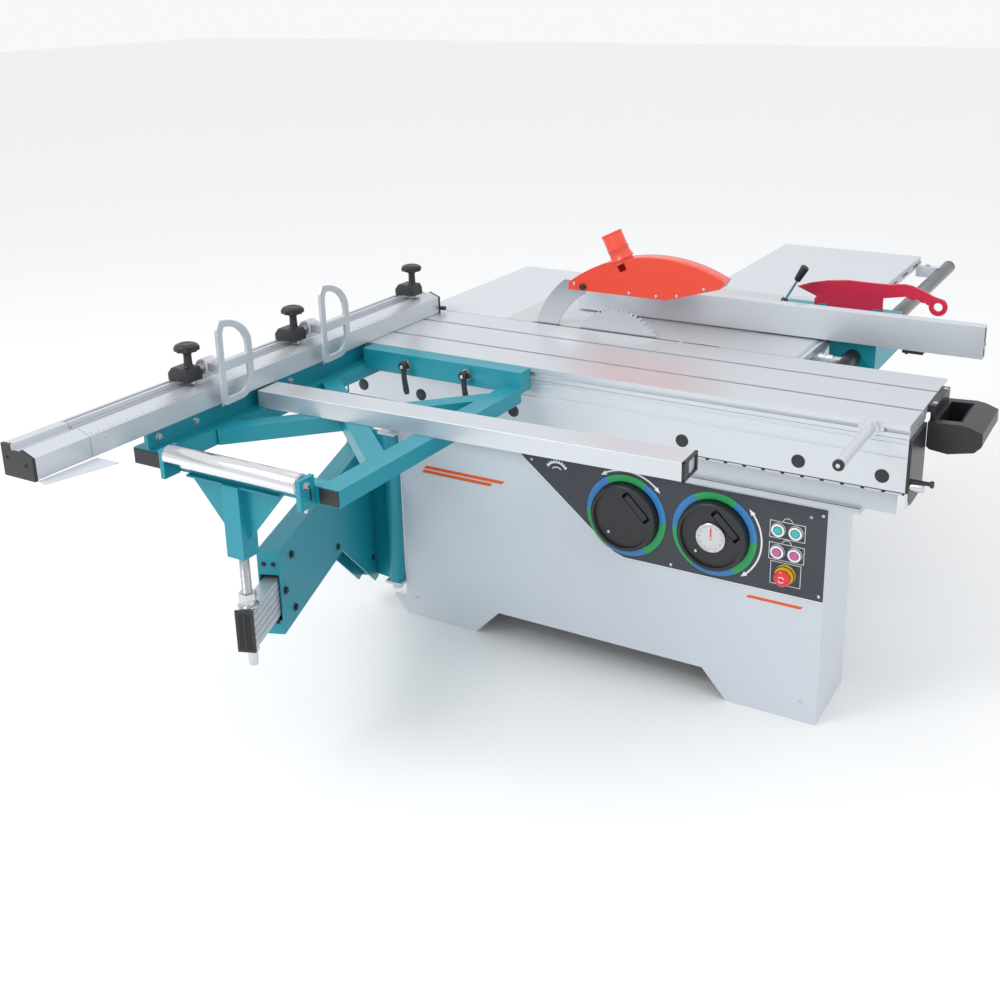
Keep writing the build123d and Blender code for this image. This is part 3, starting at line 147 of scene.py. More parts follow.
M = {
    "cabinet_paint": material("cabinet_paint", (0.58, 0.625, 0.68), 0.42, grain=(90, 90, 90), bump=0.12,
                              fine_bump=0.08, coat=0.2),
    "panel_dark": material("panel_dark", (0.042, 0.046, 0.06), 0.45, grain=(120, 120, 120), bump=0.1,
                           vary=0.1, fine_bump=0.1),
    "cast_table": material("cast_table", (0.55, 0.58, 0.61), 0.38, 0.4, grain=(8, 260, 260), bump=0.1,
                           vary=0.05),
    "sheet_table": material("sheet_table", (0.59, 0.62, 0.66), 0.4, 0.1, grain=(120, 120, 120), bump=0.08,
                            fine_bump=0.06),
    "anodised": material("anodised", (0.63, 0.66, 0.70), 0.38, 0.65, grain=(3, 420, 420), bump=0.14,
                         vary=0.05),
    "anodised_y": material("anodised_y", (0.63, 0.66, 0.70), 0.38, 0.65, grain=(420, 3, 420), bump=0.14,
                           vary=0.05),
    "dark_plate": material("dark_plate", (0.03, 0.03, 0.035), 0.5, 0.2, vary=0.12),
    "dark_chrome": material("dark_chrome", (0.045, 0.048, 0.055), 0.22, 0.6, grain=(300, 4, 300), bump=0.05),
    "cast_iron_dark": material("cast_iron_dark", (0.08, 0.09, 0.11), 0.6, 0.3, grain=(150, 150, 150),
                               bump=0.5, vary=0.2),
    "motor_paint": material("motor_paint", (0.015, 0.11, 0.15), 0.4, grain=(90, 90, 90), fine_bump=0.1,
                            vary=0.1),
    "belt_rubber": material("belt_rubber", (0.018, 0.018, 0.018), 0.75, grain=(200, 200, 200), bump=0.4,
                            vary=0.2),
    "blade_steel": material("blade_steel", (0.46, 0.47, 0.49), 0.3, 0.85, grain=(260, 260, 9), bump=0.08),
    "guard_orange": material("guard_orange", (0.80, 0.055, 0.018), 0.34, grain=(70, 70, 70), bump=0.1,
                             coat=0.5, fine_bump=0.08),
    "black_plastic": material("black_plastic", (0.016, 0.017, 0.02), 0.38, grain=(200, 200, 200), bump=0.15,
                              vary=0.25, fine_bump=0.15),
    "dial_white": material("dial_white", (0.8, 0.81, 0.82), 0.4, bump=0.05),
    "button_teal": material("button_teal", (0.03, 0.42, 0.42), 0.3, coat=0.6, vary=0.1),
    "button_magenta": material("button_magenta", (0.55, 0.09, 0.30), 0.3, coat=0.6, vary=0.1),
    "button_red": material("button_red", (0.72, 0.012, 0.018), 0.3, coat=0.6, vary=0.1),
    # the teal paint carries the painted highlight on its convex edges
    "teal_paint": material("teal_paint", (0.004, 0.255, 0.33), 0.42, 0.1, grain=(80, 80, 80), bump=0.15,
                           vary=0.08, coat=0.12, edge_highlight=0.2, fine_bump=0.1),
    "chrome": material("chrome", (0.78, 0.78, 0.8), 0.12, 1.0, grain=(4, 200, 200), bump=0.06),
    "stick_red": material("stick_red", (0.62, 0.012, 0.05), 0.33, coat=0.5, grain=(60, 60, 60),
                          fine_bump=0.1),
    "print_white": material("print_white", (0.82, 0.83, 0.84), 0.5, bump=0.03),
    "print_green": material("print_green", (0.015, 0.38, 0.10), 0.42, bump=0.05, fine_bump=0.05),
    "print_blue": material("print_blue", (0.035, 0.22, 0.55), 0.42, bump=0.05, fine_bump=0.05),
    "print_orange": material("print_orange", (0.72, 0.10, 0.015), 0.45, bump=0.03),
    "stop_yellow": material("stop_yellow", (0.85, 0.58, 0.01), 0.4, coat=0.3),
    "bolt_zinc": material("bolt_zinc", (0.62, 0.62, 0.63), 0.25, 0.95, grain=(300, 300, 300), bump=0.15),
    "light_skirt": material("light_skirt", (0.52, 0.55, 0.59), 0.42, 0.5, grain=(3, 300, 300), bump=0.1),
    # near black: the colour of printed tick marks and small black screws, and painted shade where it fills
    # slots, slits, openings and the gap beneath the guide beam
    "dark_slot": material("dark_slot", (0.012, 0.012, 0.014), 0.7, vary=0.2),
}

along_y = {"crosscut_fence", "fence_extension", "rod_handle", "fence_scale_rail", "arm_extension"}
for label, obj in nodes.items():
    slot_name = next(s["material_slot"] for s in frame["record"]["subparts"] if s["node"] == label)
    if label in along_y and slot_name == "anodised":
        slot_name = "anodised_y"
    if label == "skirt_plate":
        slot_name = "light_skirt"
    obj.data.materials.clear()
    obj.data.materials.append(M[slot_name])
    weld = obj.modifiers.new("weld", "WELD")
    weld.merge_threshold = 0.00002
    soft = obj.modifiers.new("bevel", "BEVEL")
    soft.width = 0.0025 if slot_name in ("teal_paint", "cabinet_paint") else 0.0012
    soft.segments = 2
    soft.limit_method = "ANGLE"
    soft.angle_limit = radians(38)
    soft.harden_normals = True


# ---- piece building -----------------------------------------------------------------------
class Piece:
    """Collects solids, in millimetres, into one bevelled mesh that rides on a body."""

    def __init__(self):
        self.bm = bmesh.new()
        self.index = 0
        self.mats = []

    def use(self, name):
        if name not in self.mats:
            self.mats.append(name)
        self.index = self.mats.index(name)
        return self

    def _add(self, verts, faces, matrix=None):
        made = [self.bm.verts.new((matrix @ Vector(v) if matrix else Vector(v)) * MM) for v in verts]
        for f in faces:
            face = self.bm.faces.new([made[i] for i in f])
            face.material_index = self.index
            face.smooth = True

    def box(self, x, y, z, matrix=None):
        v = [(a, b, c) for a in x for b in y for c in z]
        faces = [(0, 1, 3, 2), (4, 6, 7, 5), (0, 4, 5, 1), (2, 3, 7, 6), (0, 2, 6, 4), (1, 5, 7, 3)]
        self._add(v, faces, matrix)
        return self

    def lathe(self, origin, axis, profile, seg=40, ring=False):
        """profile: (distance along the axis, radius) pairs; closed by end discs, or into a ring."""
        q = Vector((0, 0, 1)).rotation_difference(Vector(axis).normalized()).to_matrix().to_4x4()
        place = Matrix.Translation(Vector(origin)) @ q
        verts = [(r * cos(2 * pi * k / seg), r * sin(2 * pi * k / seg), h)
                 for h, r in profile for k in range(seg)]
        faces = [(i * seg + k, i * seg + (k + 1) % seg, (i + 1) * seg + (k + 1) % seg, (i + 1) * seg + k)
                 for i in range(len(profile) - 1) for k in range(seg)]
        last = (len(profile) - 1) * seg
        if ring:
            faces += [(last + k, last + (k + 1) % seg, (k + 1) % seg, k) for k in range(seg)]
        else:
            faces += [tuple(reversed(range(seg))), tuple(last + k for k in range(seg))]
        self._add(verts, faces, place)
        return self

    def prism(self, outline, origin, xdir, ydir, depth):
        """A flat outline pushed along the cross product of its two directions."""
        xdir, ydir = Vector(xdir).normalized(), Vector(ydir).normalized()
        out = xdir.cross(ydir)
        o = Vector(origin)
        n = len(outline)
        verts = [o + xdir * a + ydir * b for a, b in outline]
        verts += [v + out * depth for v in verts]
        faces = [tuple(reversed(range(n))), tuple(range(n, 2 * n))]
        faces += [(i, (i + 1) % n, (i + 1) % n + n, i + n) for i in range(n)]
        self._add([tuple(v) for v in verts], faces)
        return self

    def bolt(self, origin, axis, r=7, h=5):
        """A hexagon head on a washer."""
        self.lathe(origin, axis, [(0, r * 1.35), (1.4, r * 1.35)], 28)
        d = Vector(axis).normalized()
        self.lathe(Vector(origin) + d * 1.4, axis, [(0, r), (h - 1, r), (h, r * 0.82)], 6)
        return self

    def socket(self, origin, axis, r=6, h=4):
        """A domed screw with a recess."""
        self.lathe(origin, axis, [(0, r), (h * 0.5, r), (h, r * 0.7), (h, r * 0.4), (h * 0.4, r * 0.36)], 24)
        return self

    def done(self, name, body, bevel=0.8, stands_for=(), slot=None, sub=0):
        bmesh.ops.recalc_face_normals(self.bm, faces=self.bm.faces)
        mesh = bpy.data.meshes.new(name)
        self.bm.to_mesh(mesh)
        self.bm.free()
        obj = bpy.data.objects.new(name, mesh)
        bpy.context.scene.collection.objects.link(obj)
        for m in self.mats:
            mesh.materials.append(M[m])
        if bevel:
            mod = obj.modifiers.new("bevel", "BEVEL")
            mod.width = bevel * MM
            mod.segments = 2
            mod.limit_method = "ANGLE"
            mod.angle_limit = radians(32)
            mod.harden_normals = True
        else:
            mesh.set_sharp_from_angle(angle=radians(30))
        if sub:
            more = obj.modifiers.new("subdivide", "SUBSURF")
            more.levels = more.render_levels = sub
        if stands_for:
            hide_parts(*stands_for)
        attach(obj, body)
        return obj


def arc(cx, cz, r, a0, a1, n):
    return [(cx + r * cos(radians(a0 + (a1 - a0) * k / n)), cz + r * sin(radians(a0 + (a1 - a0) * k / n)))
            for k in range(n + 1)]


def front(piece, outline, y, t):
    """An outline in X and Z, standing t proud of the plane y towards the operator."""
    return piece.prism(outline, (0, y, 0), (1, 0, 0), (0, 0, 1), t)


def box_mm(node):
    lo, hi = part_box(node)
    return [v / MM for v in lo], [v / MM for v in hi]


# ---- control panel printing, rings, bezels ------------------------------------------------
panel = -347.0
wheels = (98.0, 349.0)
wz = 481.0
p = Piece()
for cx in wheels:
    for k in range(6):
        p.use("print_green" if k % 2 else "print_blue")
        band = arc(cx, wz, 116.2, 60 * k, 60 * k + 60, 20) + arc(cx, wz, 97.4, 60 * k + 60, 60 * k, 20)
        front(p, band, panel - 1.5, 0.7)
p.done("wheel_ring_colours", "base", 0.2, slot="panel_dark")

p = Piece().use("print_white")
for cx, a0, a1 in ((wheels[0], 48, 118), (wheels[1], -46, 36)):
    front(p, arc(cx, wz, 130, a0, a1, 28) + arc(cx, wz, 125.5, a1, a0, 28), panel, 0.4)
    for a, s in ((a0, -1), (a1, 1)):
        tip = (cx + 127.7 * cos(radians(a + s * 8)), wz + 127.7 * sin(radians(a + s * 8)))
        wing = [(cx + r * cos(radians(a)), wz + r * sin(radians(a))) for r in (121, 134)]
        front(p, [tip] + wing if s < 0 else [tip] + wing[::-1], panel, 0.4)
outline = [(-233, 606), (39, 383), (62, 366), (92, 356), (641, 356), (641, 606)]
for (x0, z0), (x1, z1) in zip(outline[:4], outline[1:5]):
    d = Vector((x1 - x0, z1 - z0)).normalized()
    n = Vector((-d.y, d.x)) * 2.2
    front(p, [(x0, z0), (x1, z1), (x1 - n.x, z1 - n.y), (x0 - n.x, z0 - n.y)], panel, 0.4)
# saw blade pictogram
teeth = []
for k in range(19):
    a = 150 - 120 * k / 18
    r = 40 if k % 2 else 34
    teeth.append((-112 + r * cos(radians(a)), 562 + r * sin(radians(a))))
front(p, teeth + arc(-112, 562, 30, 30, 150, 12), panel, 0.4)
front(p, arc(-112, 562, 20, 45, 135, 8) + arc(-112, 562, 17, 135, 45, 8), panel, 0.4)
# outline frames round each pair of buttons, with an arched tab
for z in (530, 470, 411):
    x0, x1, zz = 496, 588, z
    h = 22 if z > 420 else 30
    if z < 420:
        x0, x1 = 502, 582
    for a in ((x0, x1, zz + h, zz + h + 1.4), (x0, x1, zz - h - 1.4, zz - h), (x0, x0 + 1.4, zz - h, zz + h),
              (x1 - 1.4, x1, zz - h, zz + h)):
        front(p, [(a[0], a[2]), (a[1], a[2]), (a[1], a[3]), (a[0], a[3])], panel, 0.4)
    if z > 420:
        front(p, arc(542, zz + h, 13, 0, 180, 12) + arc(542, zz + h, 11.6, 180, 0, 12), panel, 0.4)
p.done("panel_printing", "base", 0, slot="dial_white")

p = Piece().use("print_white")
for x in (519, 564):
    for z in (530, 470):
        p.lathe((x, panel, z), (0, -1, 0), [(0, 19.3), (5, 19.3), (8, 16.5), (8, 12.2), (6.2, 11.8),
                                            (0, 11.8)], 40, True)
p.done("button_bezels", "base", 0.3, slot="dial_white")
p = Piece().use("stop_yellow")
p.lathe((542, panel, 411), (0, -1, 0), [(0, 27.3), (9, 27.3), (12.4, 24), (12.4, 11), (0, 11)], 48, True)
p.done("emergency_stop_plate", "base", 0.3, slot="dial_white")

# generic colour bars where a maker's lettering would be, and screws round the panel
p = Piece().use("print_orange")
front(p, [(-555, 494), (-290, 494), (-282, 504), (-547, 504)], -345, 0.4)
front(p, [(-563, 480), (-330, 480), (-322, 490), (-555, 490)], -345, 0.4)
front(p, [(440, 322), (585, 322), (592, 330), (447, 330)], -345, 0.4)
p.done("colour_bars", "base", 0, slot="button_red")
p = Piece().use("bolt_zinc")
for x, z in ((630, 370), (630, 590), (-190, 590), (230, 366)):
    p.socket((x, panel, z), (0, -1, 0), 4.5, 2.5)
p.done("panel_screws", "base", 0.2, slot="chrome")

# mushroom head of the emergency stop
p = Piece().use("button_red")
p.lathe((542, -347, 411), (0, -1, 0), [(0, 9.5), (19, 9.5), (20, 19), (23, 21.5), (29, 21.5), (33, 18),
                                       (35, 12), (35.6, 4)], 48)
p.use("print_white")
for s in (0, 180):
    ring = arc(542, 411, 8.5, 20 + s, 150 + s, 10) + arc(542, 411, 6.5, 150 + s, 20 + s, 10)
    front(p, ring, -382.2, 0.4)
p.done("emergency_stop_head", "emergency_stop", 0.3, ("emergency_stop",), "button_red")
for label, body, mat, x, z in (("start_button", "start_button", "button_teal", 519, 530),
                               ("scoring_start_button", "scoring_start_button", "button_teal", 564, 530),
                               ("stop_button", "stop_button", "button_magenta", 519, 470),
                               ("scoring_stop_button", "scoring_stop_button", "button_magenta", 564, 470)):
    p = Piece().use(mat)
    p.lathe((x, -348, z), (0, -1, 0), [(0, 10.9), (6, 10.9), (8, 10.2), (8.6, 8.5), (8.2, 6), (8, 2)], 36)
    p.done(label + "_cap", body, 0.2, (label,), mat)

# ---- hand wheel trim and tilt dial --------------------------------------------------------
face = -376.0
for k, cx in enumerate(wheels):
    body = ("lift_wheel", "tilt_wheel")[k]
    p = Piece().use("black_plastic")
    for a in range(0, 360, 6):
        x, z = cx + 94.4 * cos(radians(a)), wz + 94.4 * sin(radians(a))
        p.lathe((x, face + 9, z), (0, 1, 0), [(0, 0.4), (2, 1.3), (14, 1.3), (16, 0.4)], 8)
    p.use("bolt_zinc").socket((cx - 42, face + 8, wz - 48), (0, -1, 0), 4, 2)
    p.done(body + "_trim", body, 0, slot="black_plastic")

p = Piece().use("dial_white")
dial_x = wheels[1]
p.lathe((dial_x, face + 9.4, wz), (0, -1, 0), [(0, 39.8), (7.6, 39.8), (7.6, 36.5), (6.8, 35.8), (6.8, 1)],
        64)
p.use("bolt_zinc").lathe((dial_x, face + 9.3, wz), (0, -1, 0),
                         [(0, 40.2), (9, 40.2), (10, 38.8), (9.4, 36.8), (6.9, 36.6)], 64)
p.use("dark_slot")
for k in range(36):
    a = radians(10 * k)
    r0, r1 = (27, 34) if k % 3 == 0 else (30.5, 34)
    w = 0.5 if k % 3 == 0 else 0.28
    c, s = cos(a), sin(a)
    quad = [(dial_x + r0 * c - w * s, wz + r0 * s + w * c), (dial_x + r1 * c - w * s, wz + r1 * s + w * c),
            (dial_x + r1 * c + w * s, wz + r1 * s - w * c), (dial_x + r0 * c + w * s, wz + r0 * s - w * c)]
    front(p, quad[::-1], face + 2.5, 0.3)
p.use("button_red")
front(p, [(dial_x - 2.2, wz - 6), (dial_x + 2.2, wz - 6), (dial_x + 1.6, wz + 26), (dial_x - 1.6, wz + 26)],
      face + 1.9, 0.8)
p.use("bolt_zinc").lathe((dial_x, face + 2.6, wz), (0, -1, 0), [(0, 4), (2, 4), (2.8, 2.6)], 24)
p.done("tilt_dial_face", "dial", 0.1, ("tilt_dial",), "dial_white")

# ---- guide beam trim ----------------------------------------------------------------------
lo, hi = box_mm("guide_beam")
beam_front, beam_right = lo[1], hi[0]
p = Piece().use("black_plastic")
for x in (245, 545, 745):
    for s in (-1, 1):
        p.lathe((30 + s * x, beam_front + 0.5, 743), (0, -1, 0),
                [(0, 16.8), (1.6, 16.8), (3, 14.5), (3.2, 6)], 36)
p.done("beam_plugs", "base", 0.3, slot="black_plastic")
# painted shade: a near-black strip stands for the shaded gap beneath the guide beam, with light dashes in
# front
p = Piece().use("dark_slot")
p.box((-768, 828), (-398.5, -377), (703, 709.8))
p.use("light_skirt")
for k in range(32):
    x0 = -718 + 48.5 * k
    p.box((x0, x0 + 39), (-401.5, -398), (703.4, 708.2))
p.done("beam_slot_strip", "base", 0.4, slot="dark_plate")
p = Piece().use("black_plastic")
for x0, x1 in ((beam_right - 6.4, beam_right + 1.4), (lo[0] - 1.4, lo[0] + 6.4)):
    cap = [(beam_front + 1, 838), (beam_front + 1, 716), (-391, 688), (-376, 672), (-360, 668), (-250, 668),
           (-250, 838)]
    p.prism(cap, (x0, 0, 0), (0, 1, 0), (0, 0, 1), x1 - x0)
p.done("beam_caps", "base", 1.5, slot="black_plastic")
p = Piece().use("light_skirt")
p.box((-670, 728), (-386.5, -380), (629, 643))
p.box((-670, 728), (-388, -384), (637, 640))
p.done("top_plate_trim", "base", 0.8, slot="anodised")
p = Piece().use("bolt_zinc")
p.lathe((836.6, -385, 724), (1, 0, 0), [(0, 10), (2, 11), (31, 11), (33, 9.5), (34, 6)], 32)
p.use("dark_plate").box((835.9, 884), (-391, -379), (734, 740.5))
p.lathe((884, -385, 737), (1, 0, 0), [(-2, 7.5), (0, 8.5), (5, 8.5), (6.5, 6.5)], 28)
p.done("beam_latch_knob", "latch", 0.6, ("beam_latch",), "chrome")

# ---- saw blades ---------------------------------------------------------------------------
def blade(name, body, node, cx, cz, r, teeth, t):
    p = Piece().use("blade_steel")
    rim = []
    for k in range(teeth):
        a = 360 * k / teeth
        pitch = 360 / teeth
        for f, q in ((0, r), (0.10, r - 1), (0.42, r - 2.6), (0.52, r - 7.4), (0.78, r - 8.6),
                     (0.97, r - 5.5)):
            rim.append((cx + q * cos(radians(a + f * pitch)), cz + q * sin(radians(a + f * pitch))))
    p.prism(rim, (0, t / 2, 0), (1, 0, 0), (0, 0, 1), t)
    p.use("bolt_zinc")
    for k in range(teeth):
        a = radians(360 * k / teeth)
        c, s = cos(a), sin(a)
        tip = [(cx + (r + 0.3) * c, cz + (r + 0.3) * s),
               (cx + (r + 0.1) * c - 2.2 * s, cz + (r + 0.1) * s + 2.2 * c),
               (cx + (r - 5) * c - 1.8 * s, cz + (r - 5) * s + 1.8 * c), (cx + (r - 5) * c, cz + (r - 5) * s)]
        p.prism(tip, (0, t / 2 + 0.35, 0), (1, 0, 0), (0, 0, 1), t + 0.7)
    # painted shade: the expansion slits are near-black strips on the blade rather than cut through
    p.use("dark_slot")
    for k in range(4):
        a = 90 * k + 35
        slit = arc(cx, cz, r * 0.62, a, a + 7, 4) + arc(cx, cz, r * 0.59, a + 7, a, 4)
        p.prism(slit, (0, t / 2 + 0.04, 0), (1, 0, 0), (0, 0, 1), t + 0.08)
    p.done(name, body, 0, (node,), "blade_steel")


blade("main_blade_toothed", "spindle", "saw_blade", -98, 796, 149.6, 60, 2.6)
p = Piece().use("blade_steel")
p.lathe((165, -9.6, 817), (0, 1, 0), [(0, 21), (2, 22), (22.6, 22), (22.6, 9), (51.6, 9)], 36)
rim = []
for k in range(24):
    for f, q in ((0, 59.6), (0.45, 57), (0.6, 53), (0.95, 54)):
        a = radians(15 * (k + f))
        rim.append((165 + q * cos(a), 817 + q * sin(a)))
p.prism(rim, (0, 1.6, 0), (1, 0, 0), (0, 0, 1), 3.2)
p.done("scoring_blade_toothed", "scoring", 0, ("scoring_blade",), "blade_steel")

# ---- blade guard fittings -----------------------------------------------------------------
p = Piece().use("bolt_zinc")
for x, z in ((-225, 1013), (-51, 1003), (32, 1003), (94, 1010), (173, 1038)):
    for s in (-1, 1):
        p.socket((x, s * 25, z), (0, s, 0), 4.5, 2.4)
p.use("black_plastic")
for s in (-1, 1):
    p.lathe((-196, s * 25, 1006), (0, s, 0), [(0, 8), (3, 9.5), (9, 9.5), (11, 7.5), (11.4, 3)], 18)
p.use("guard_orange")
for s in (-1, 1):
    slot = [(100, 1058), (132, 1046), (141, 1051), (141, 1060), (112, 1074), (102, 1070)]
    if s < 0:
        p.prism(slot, (0, -25, 0), (1, 0, 0), (0, 0, 1), 1.2)
    else:
        p.prism(slot, (0, 26.2, 0), (1, 0, 0), (0, 0, 1), 1.2)
axis = Vector((-sin(radians(27)), 0, cos(radians(27))))
p.lathe(Vector((-87, 0, 1100)) - axis * 8, axis, [(0, 36), (8, 32.4), (18, 30.4), (18, 29), (0, 29)], 48,
        True)
p.lathe(Vector((-87, 0, 1100)) + axis * 66, axis,
        [(0, 30), (1, 30.9), (4, 30.9), (5, 30), (5, 28.5), (0, 28.5)], 48, True)
p.done("guard_fittings", "lift_unit", 0.6, slot="guard_orange")

# ---- crosscut fence trim ------------------------------------------------------------------
profile = [(-776, 875), (-686, 875), (-686, 924), (-720, 937), (-722, 931), (-748, 931), (-750, 945),
           (-776, 945)]


def grown(points, by):
    cx = sum(a for a, _ in points) / len(points)
    cz = sum(b for _, b in points) / len(points)
    return [(cx + (a - cx) * by, cz + (b - cz) * by) for a, b in points]


p = Piece().use("black_plastic")
front(p, grown(profile, 1.035), -1539, 8)
for x, z in ((-762, 916), (-706, 906)):
    p.use("dark_slot").socket((x, -1547, z), (0, -1, 0), 4, 1.6)
p.done("fence_cap_left", "fence_extension", 1.2, slot="black_plastic")
p = Piece().use("black_plastic")
front(p, grown(profile, 1.035), -36, 8)
p.box((-686, -668), (-42, -28), (884, 894))
p.done("fence_cap_right", "crosscut", 1.2, slot="black_plastic")
p = Piece().use("bolt_zinc")
for y in (-1377, -1357):
    p.socket((-686, y, 909), (1, 0, 0), 4, 1.8)
p.done("fence_screws", "crosscut", 0.2, slot="chrome")
p = Piece().use("dark_slot")
for k in range(134):
    y = -1385 + 10 * k
    deep = 9 if k % 5 == 0 else 5
    slope = Vector((-34, 0, 13)).normalized()
    o = Vector((-688, y, 924.9))
    p.prism([(0, 0), (deep, 0), (deep, 0.7), (0, 0.7)], o, slope, (0, 1, 0), 0.15)
p.use("anodised_y")
p.box((-746, -741), (-1390, -46), (931, 935))
p.box((-730, -726), (-1390, -46), (931, 934))
p.done("fence_scale", "crosscut", 0, slot="anodised")
p = Piece().use("sheet_table")
plate = [(-684, -1540), (-657, -1546), (-613, -1387), (-679, -1389)]
p.prism(plate, (0, 0, 872), (1, 0, 0), (0, 1, 0), 2.4)
p.done("fence_end_plate", "fence_extension", 0.6, slot="anodised")


def star_knob(name, body, node, x, y, z):
    p = Piece().use("black_plastic")
    lobes = [(x + (28.1 + 2.2 * cos(8 * radians(a))) * cos(radians(a)),
              y + (28.1 + 2.2 * cos(8 * radians(a))) * sin(radians(a)))
             for a in range(0, 360, 5)]
    p.prism(lobes, (0, 0, z + 8), (1, 0, 0), (0, 1, 0), 11)
    p.lathe((x, y, z), (0, 0, 1), [(0, 11), (3, 14), (7, 23), (9, 28)], 40)
    p.lathe((x, y, z + 19), (0, 0, 1), [(0, 29), (3, 27), (6, 21), (7.2, 13), (6, 11), (6, 3)], 40)
    p.lathe((x, y, z - 34), (0, 0, 1), [(-2, 13), (0, 13.5), (3, 13.5), (4, 10.5), (35, 9.5)], 28)
    p.done(name, body, 1.6, (node,), "black_plastic")


for k, y in enumerate((-1052, -667, -122)):
    star_knob(f"stop_knob_{k + 1}_star", f"stop_knob_{k + 1}", f"stop_knob_{k + 1}", -726, y, 1012)
    p = Piece().use("black_plastic")
    body_shape = [(-773, 946), (-706, 946), (-706, 966), (-713, 979), (-760, 979), (-773, 964)]
    p.prism(body_shape, (0, y + 24, 0), (1, 0, 0), (0, 0, 1), 48)
    p.box((-766, -760), (y - 24, y + 24), (938, 947))
    p.use("bolt_zinc").box((-712, -706.5), (y - 8, y + 8), (938.6, 952))
    if k < 2:
        p.lathe((-720, y + 24, 970), (0, 1, 0), [(0, 8), (68, 8)], 28)
    p.done(f"stop_block_{k + 1}_body", f"stop_{k + 1}", 2.2, (f"stop_block_{k + 1}",), "black_plastic")


def flip_stop(k, y0):
    """A D-shaped plate with two windows, on a cast arm and hub."""
    curve = bpy.data.curves.new(f"flip_stop_{k}_outline", "CURVE")
    curve.dimensions = "2D"
    curve.fill_mode = "BOTH"

    def loop(points):
        s = curve.splines.new("POLY")
        s.points.add(len(points) - 1)
        for pt, (a, b) in zip(s.points, points):
            pt.co = (a * MM, b * MM, 0, 1)
        s.use_cyclic_u = True

    outer = [(0, 1088), (0, 988), (0, 962), (0, 892)] + arc(13, 893, 13, 180, 262, 5) + arc(62, 932, 51,
            -82, -3, 10)
    outer += [(113, 962), (113, 988), (113, 1014)] + arc(10, 1010, 103, 6, 90, 14) + [(0, 1088)]
    outer = [(a, b) if b < 1014 else (a, 1014 + (b - 1014) * 0.75) for a, b in outer]
    inner = [(54 + (a - 54) * 0.71, 982 + (b - 982) * 0.85) for a, b in outer]
    loop(outer)
    loop([q for q in inner if q[1] > 985])
    loop([q for q in inner if q[1] < 967])
    curve.extrude = 0.0032
    curve.bevel_depth = 0.0011
    curve.bevel_resolution = 2
    flat = bpy.data.objects.new("outline", curve)
    bpy.context.scene.collection.objects.link(flat)
    bpy.context.view_layer.update()
    mesh = bpy.data.meshes.new_from_object(flat)
    bpy.data.objects.remove(flat)
    mesh.transform(Matrix(((0, 0, 1, -0.660), (1, 0, 0, (y0 + 1.4) * MM), (0, 1, 0, 0), (0, 0, 0, 1))))
    p = Piece()
    p.bm.from_mesh(mesh)
    p.use("anodised_y")
    for f in p.bm.faces:
        f.smooth = False
        f.material_index = 0
    p.box((-722, -662), (y0 + 8, y0 + 32), (961, 982))
    p.box((-700, -662), (y0 + 4, y0 + 54), (964, 980))
    p.lathe((-720, y0 + 2, 970), (0, 1, 0), [(0, 17), (2, 19.5), (38, 19.5), (40, 17)], 36)
    p.lathe((-720, y0 + 42, 970), (0, 1, 0), [(0, 13), (6, 13), (7, 11)], 28)
    p.use("bolt_zinc").socket((-692, y0 + 20, 982), (0, 0, 1), 5, 3)
    p.socket((-678, y0 + 16, 982), (0, 0, 1), 4, 3)
    p.done(f"flip_stop_{k}_plate", f"flip_{k}", 0.7, (f"flip_stop_{k}",), "anodised")


flip_stop(1, -1020)
flip_stop(2, -635)

# ---- outrigger fittings -------------------------------------------------------------------
p = Piece().use("bolt_zinc")
for y in (-1192, -1073, -727):
    p.bolt((-700, y, 853), (1, 0, 0), 7, 7)
for y in (-1192, -727):
    p.bolt((-668, y, 790), (0, 0, -1), 5, 8)
for x in (-632, -226):
    p.bolt((x, -1240, 840), (-1 if x < -400 else 1, 0, 0), 7, 6)
p.bolt((-233, -1238, 786), (0, 0, -1), 5, 9)
# painted shade: thin near-black slits on the tube stand for shaded narrow openings
p.use("dark_slot")
for x in (-632.3, -225.7):
    p.box((x - 0.6, x + 0.6), (-1230, -1225), (802, 828))
p.done("outrigger_bolts", "table", 0.3, slot="chrome")
p = Piece().use("black_plastic")
p.box((-748, -662), (-1227.5, -1224), (792, 828))
p.box((-213, -162), (-1215.5, -1212), (792, 828))
p.done("tube_plugs", "table", 1.0, slot="black_plastic")
p = Piece().use("bolt_zinc")
for x in (-619.5, -238.5):
    p.lathe((x, -1240, 840), (1 if x > -400 else -1, 0, 0), [(-2, 21), (0, 22), (1, 21), (1, 12)], 40)
p.done("roller_hubs", "roller", 0.4, slot="chrome")

for k, x in enumerate((-523, -328)):
    p = Piece().use("bolt_zinc")
    p.lathe((x, -449.6, 844), (0, -1, 0), [(0, 15), (2, 15), (2, 10), (5, 10)], 32)
    p.use("black_plastic")
    p.lathe((x, -454, 844), (0, -1, 0), [(0, 11), (3, 13), (16, 13), (20, 11), (21, 6)], 32)
    path = [(x, -466, 842, 8), (x + 3, -470, 826, 7), (x + 8, -474, 806, 7.5), (x + 15, -478, 780, 8.5),
            (x + 18, -479, 770, 6)]
    for (x0, y0, z0, r0), (x1, y1, z1, r1) in zip(path, path[1:]):
        d = Vector((x1 - x0, y1 - y0, z1 - z0))
        p.lathe((x0, y0, z0), d, [(0, r0), (d.length, r1)], 20)
    p.use("bolt_zinc").socket((x, -475, 844), (0, -1, 0), 5, 2)
    p.done(f"clamp_lever_{k + 1}_ratchet", f"clamp_lever_{k + 1}", 0.8, (f"clamp_lever_{k + 1}",),
           "black_plastic")

